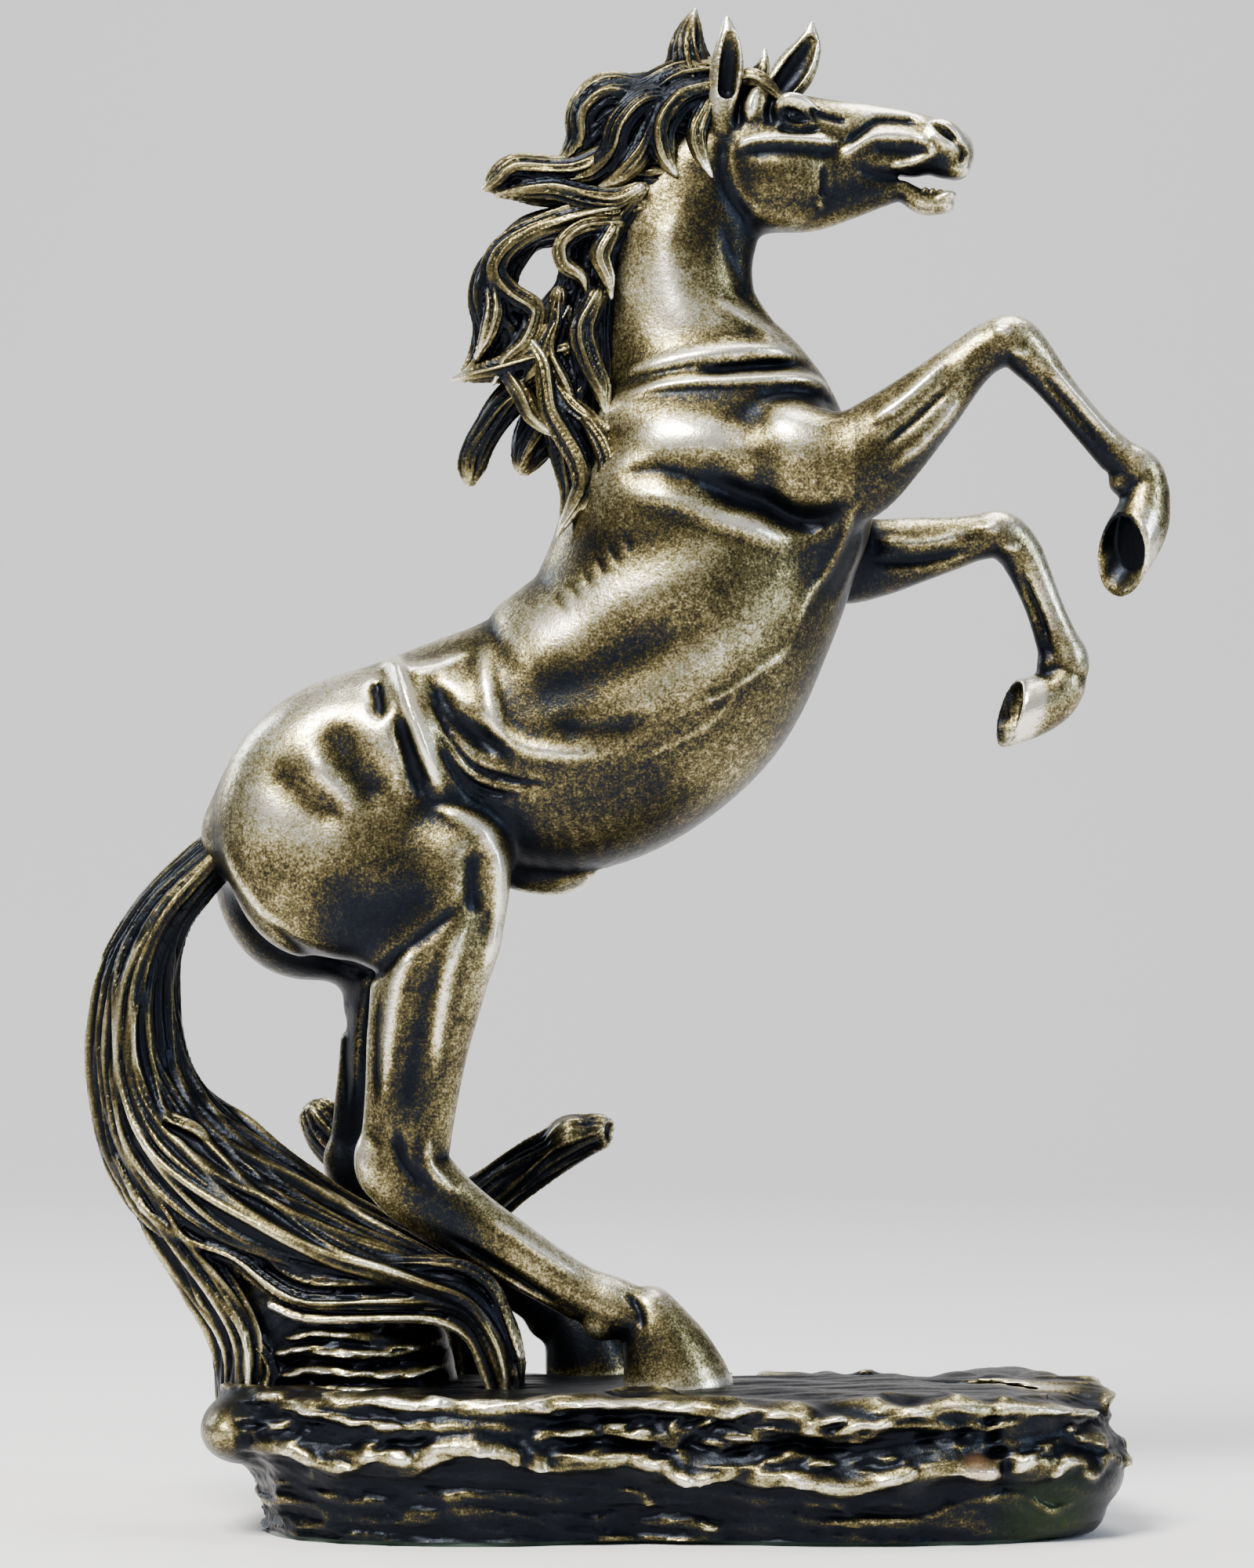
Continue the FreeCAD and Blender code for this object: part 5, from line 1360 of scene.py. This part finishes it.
def painted_shade_between_hind_legs(n):
    """1 on the insides of the hind legs, where shade is painted."""
    at = n.parts(n.place)
    inward = n.between(n.maths("ABSOLUTE", at["Y"], 0), *INWARD)
    return n.maths("MULTIPLY", inward, n.between(at["Z"], *UNDER_BELLY))


def bronze(name, crest, swell, rub, speckle=1.0, slim_fade_and_thigh_shade=0.0, painted_top_light=0.0, stains=()):
    """Dark patina, rubbed through to pale gold where the surface stands out. rub shifts the whole piece.

    The slim fade keeps the legs, the muzzle and the ears, which stand out everywhere, from being rubbed all
    over, and with it paints shade on the insides of the hind legs. The lean paints light on the faces that
    look up and shade on those that look down. stains are spots of another colour, as (centre, radius,
    colour).
    """
    n = Nodes(name)
    fine = n.noise(1700, 1.5, 0.6)
    fleck = n.noise(620, 3.0, 0.65)
    cloud = n.noise(30, 3.0, 0.6)
    # the rub from the surface's shape, with the painted highlights and painted shade of the table added
    wear_and_painted_light = n.total((n.attribute("crest"), crest), (n.attribute("swell"), swell), n.attribute("painted_shading"))
    # the legs, the muzzle and the ears rubbed less, and painted shade on the insides of the hind legs
    if slim_fade_and_thigh_shade:
        wear_and_painted_light = n.total(wear_and_painted_light, (slimness(n), -slim_fade_and_thigh_shade), (painted_shade_between_hind_legs(n), -1.6 * slim_fade_and_thigh_shade))
    # painted light on the faces that look up, and painted shade on those that look down
    if painted_top_light:
        facing = n.parts(n.add("NewGeometry").outputs["Normal"])["Z"]
        wear_and_painted_light = n.total(wear_and_painted_light, (facing, painted_top_light))
    for noise, weight in ((fine, 0.7 * speckle), (fleck, 0.55 * speckle), (cloud, 0.85)):
        wear_and_painted_light = n.total(wear_and_painted_light, (n.maths("SUBTRACT", noise, 0.5), weight))
    wear_and_painted_light = n.maths("ADD", wear_and_painted_light, rub)
    colour = n.ramp(wear_and_painted_light, PATINA)
    for centre, radius, stain in stains:
        distance = n.add("VectorMath", {0: n.place, 1: centre}, operation="DISTANCE").outputs["Value"]
        reach = n.maths("MULTIPLY", n.between(distance, radius, 0.3 * radius), n.level(fleck, 0.2, 1.0))
        colour = n.add("MixRGB", {"Fac": reach, "Color1": colour, "Color2": (*stain, 1)}).outputs["Color"]
    n.feed("Base Color", colour)
    n.feed("Roughness", n.level(n.maths("ADD", wear_and_painted_light, n.maths("SUBTRACT", fleck, 0.5)), 0.42, 0.27))
    n.feed("Metallic", 0.88)
    n.bump(n.total((fine, 0.35), fleck), strength=0.3, distance=0.0004)
    return n.material


# Verdigris under the boulder at the base's right end, and a spot where raw copper shows beside it
BASE_STAINS = [
    ((0.108, -0.046, 0.002), 0.02, (0.022, 0.034, 0.012)),
    ((0.088, -0.056, 0.021), 0.0065, (0.36, 0.18, 0.09)),
]
body_bronze = bronze("BodyBronze", crest=0.9, swell=0.8, rub=0.4, slim_fade_and_thigh_shade=0.22, painted_top_light=0.24)
mane_bronze = bronze("ManeBronze", crest=0.95, swell=0.1, rub=0.17, speckle=0.6, painted_top_light=0.06)
tail_bronze = bronze("TailBronze", crest=1.2, swell=0.1, rub=0.25, speckle=0.6, painted_top_light=0.06)
wood_bronze = bronze("WoodBronze", crest=1.0, swell=0.15, rub=0.2, speckle=0.8, painted_top_light=0.05, stains=BASE_STAINS)


def steel():
    n = Nodes("ZincPlatedSteel")
    n.feed("Base Color", n.ramp(n.noise(500), [(0.3, (0.48, 0.5, 0.53)), (0.7, (0.68, 0.69, 0.7))]))
    n.feed("Roughness", n.level(n.noise(120), 0.28, 0.5))
    n.feed("Metallic", 1.0)
    return n.material


def felt():
    n = Nodes("GreenFelt")
    fibre = n.noise(1800, 4.0, 0.8)
    n.feed("Base Color", n.ramp(fibre, [(0.3, (0.006, 0.016, 0.011)), (0.75, (0.02, 0.05, 0.032))]))
    n.feed("Roughness", 0.95)
    n.feed("Sheen Weight", 0.3)
    n.bump(fibre, strength=0.6, distance=0.0005)
    return n.material


# ================================================================ the pieces
# Where the horse is cut into castings, as planes of (point, way out)
NECK_SEAM = ((22.8, 0, 286), (-0.184, 0, 0.983))
HEAD_SEAM = ((19.4, 0, 341.5), (0.545, 0, 0.839))
HIND_LEG_TOP = ((0, 0, 134), (0, 0, 1))
FORELEG_ROOT = ((57, 0, 0), (-1, 0, 0))
# The forelegs part from the torso only this far out from the middle
FORELEG_GAP = 12


def flipped(plane):
    point, way = plane
    return point, tuple(-part for part in way)


def beside(side, gap):
    """The plane that has everything further out than gap on one side of the horse behind it."""
    return (0, side * gap, 0), (0, -side, 0)


def hind_leg(side):
    return [HIND_LEG_TOP, beside(side, 0)]


def foreleg(side):
    return [FORELEG_ROOT, beside(side, FORELEG_GAP)]


LEGS = [leg(side) for side in (NEAR_SIDE, FAR_SIDE) for leg in (hind_leg, foreleg)]
HEAD_NODES = ["head_casting", "right_ear", "left_ear"]
# Each piece of the horse: its nodes, its block's corners and cell, its region and the regions left out
HORSE = {
    "Torso": (["torso_casting"], (-112, -42, 126), (76, 42, 306), 0.85, [NECK_SEAM], LEGS),
    "Neck": (["neck_casting"], (-28, -28, 262), (62, 28, 356), 0.6, [flipped(NECK_SEAM), HEAD_SEAM], []),
    "Head": (HEAD_NODES, (4, -20, 318), (94, 20, 390), 0.42, [flipped(HEAD_SEAM)], []),
    "RightHindLeg": (["right_hind_leg"], (-94, -38, 30), (34, -2, 142), 0.6, hind_leg(NEAR_SIDE), []),
    "LeftHindLeg": (["left_hind_leg"], (-104, 2, 30), (22, 38, 142), 0.6, hind_leg(FAR_SIDE), []),
    "RightForeleg": (["right_foreleg"], (50, -36, 234), (144, -6, 314), 0.55, foreleg(NEAR_SIDE), []),
    "LeftForeleg": (["left_foreleg"], (50, 6, 194), (126, 36, 268), 0.55, foreleg(FAR_SIDE), []),
}
for name, (nodes, low, high, cell, keep, drop) in HORSE.items():
    clay = sculpt_horse(Clay(low, high, cell))
    pressed(clay, name, nodes, body_bronze, keep, drop)


def block_about(spines, step, room=3.0):
    """An empty block that holds tubes along these spines."""
    stations = np.array([station for spine in spines for station in spine])
    size = stations[:, 3:].max(axis=1, keepdims=True) + room
    return Clay((stations[:, :3] - size).min(axis=0), (stations[:, :3] + size).max(axis=0), step)


for name in MANE:
    clay = block_about([spine for _, spine in MANE[name]], 0.42)
    sculpt_mane(clay, name)
    pressed(clay, "Mane_" + name, ["mane_" + name], mane_bronze)

clay = block_about([TAIL], 0.62)
sculpt_tail(clay)
pressed(clay, "Tail", ["tail_upper", "tail_lower", "tail_skirt"], tail_bronze)

BASE_FLOOR = ((0, 0, PLATE_BOTTOM), DOWN)
WOOD = {
    "RootStump": (sculpt_stump, "root_stump", (-114, -34, 28), (-30, 34, 82), 0.6, []),
    "DriftwoodLog": (sculpt_log, "driftwood_log", (-94, 26, 28), (2, 50, 114), 0.55, []),
    "Base": (sculpt_base, "base_casting", (-114, -68, -2), (136, 68, 46), 0.8, [BASE_FLOOR]),
}
for name, (sculpt, node, low, high, cell, keep) in WOOD.items():
    clay = Clay(low, high, cell)
    sculpt(clay)
    pressed(clay, name, [node], wood_bronze, keep)

steel_finish, felt_finish = steel(), felt()
for node_name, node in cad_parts.items():
    finish = felt_finish if node_name == "felt_sheet" else steel_finish
    node.data.materials.clear()
    node.data.materials.append(finish)


# ================================================================ stage, light and camera
def build_stage():
    """A pale floor that curves up into a backdrop behind the object."""
    half, front, bend, back, top = 3.0, -2.6, 1.3, 0.9, 3.0
    steps = 12
    profile = [(front, 0.0), (bend, 0.0)]
    for i in range(1, steps):
        turn = math.pi / 2 * i / steps
        profile.append((bend + back * math.sin(turn), back * (1 - math.cos(turn))))
    profile += [(bend + back, back), (bend + back, top)]
    points = [(x, y, z) for y, z in profile for x in (-half, half)]
    faces = [(2 * i, 2 * i + 1, 2 * i + 3, 2 * i + 2) for i in range(len(profile) - 1)]
    mesh = bpy.data.meshes.new("Backdrop")
    mesh.from_pydata(points, [], faces)
    for face in mesh.polygons:
        face.use_smooth = True
    n = Nodes("PaleBackdrop")
    n.feed("Base Color", (0.72, 0.71, 0.72, 1))
    n.feed("Roughness", 0.7)
    mesh.materials.append(n.material)
    backdrop = in_scene("Backdrop", mesh)


STATUETTE_MIDDLE = Vector((0, 0, 0.2))


def softbox(name, place, size, watts, colour):
    """A rectangular light that faces the middle of the statuette."""
    light = bpy.data.lights.new(name, "AREA")
    light.shape = "RECTANGLE"
    light.size, light.size_y = size
    light.energy = watts
    light.color = colour
    lamp = in_scene(name, light)
    lamp.location = place
    lamp.rotation_euler = (STATUETTE_MIDDLE - Vector(place)).to_track_quat("-Z", "Y").to_euler()


build_stage()
softbox("Key", (-0.6, -1.1, 1.5), (0.7, 0.7), 120, (1.0, 0.96, 0.88))
softbox("Fill", (1.6, -0.9, 0.8), (0.4, 1.0), 26, (0.74, 0.86, 1.0))
softbox("Top", (0.2, 0.2, 1.7), (0.9, 0.9), 26, (1.0, 0.98, 0.95))
softbox("Rim", (-1.3, 0.9, 0.9), (0.5, 1.0), 16, (0.82, 0.9, 1.0))

world = bpy.data.worlds.new("Studio")
world.use_nodes = True
sky = world.node_tree.nodes["Background"]
sky.inputs["Color"].default_value = (0.4, 0.5, 0.78, 1)
sky.inputs["Strength"].default_value = 0.12
bpy.context.scene.world = world

CAMERA_DISTANCE = 1.6
CAMERA_HEIGHT = 0.189
camera_data = bpy.data.cameras.new("Camera")
camera_data.lens = 144
camera_data.sensor_width = 36
camera = in_scene("Camera", camera_data)
camera.location = (0, -CAMERA_DISTANCE, CAMERA_HEIGHT)
camera.rotation_euler = (math.pi / 2, 0, 0)
bpy.context.scene.camera = camera
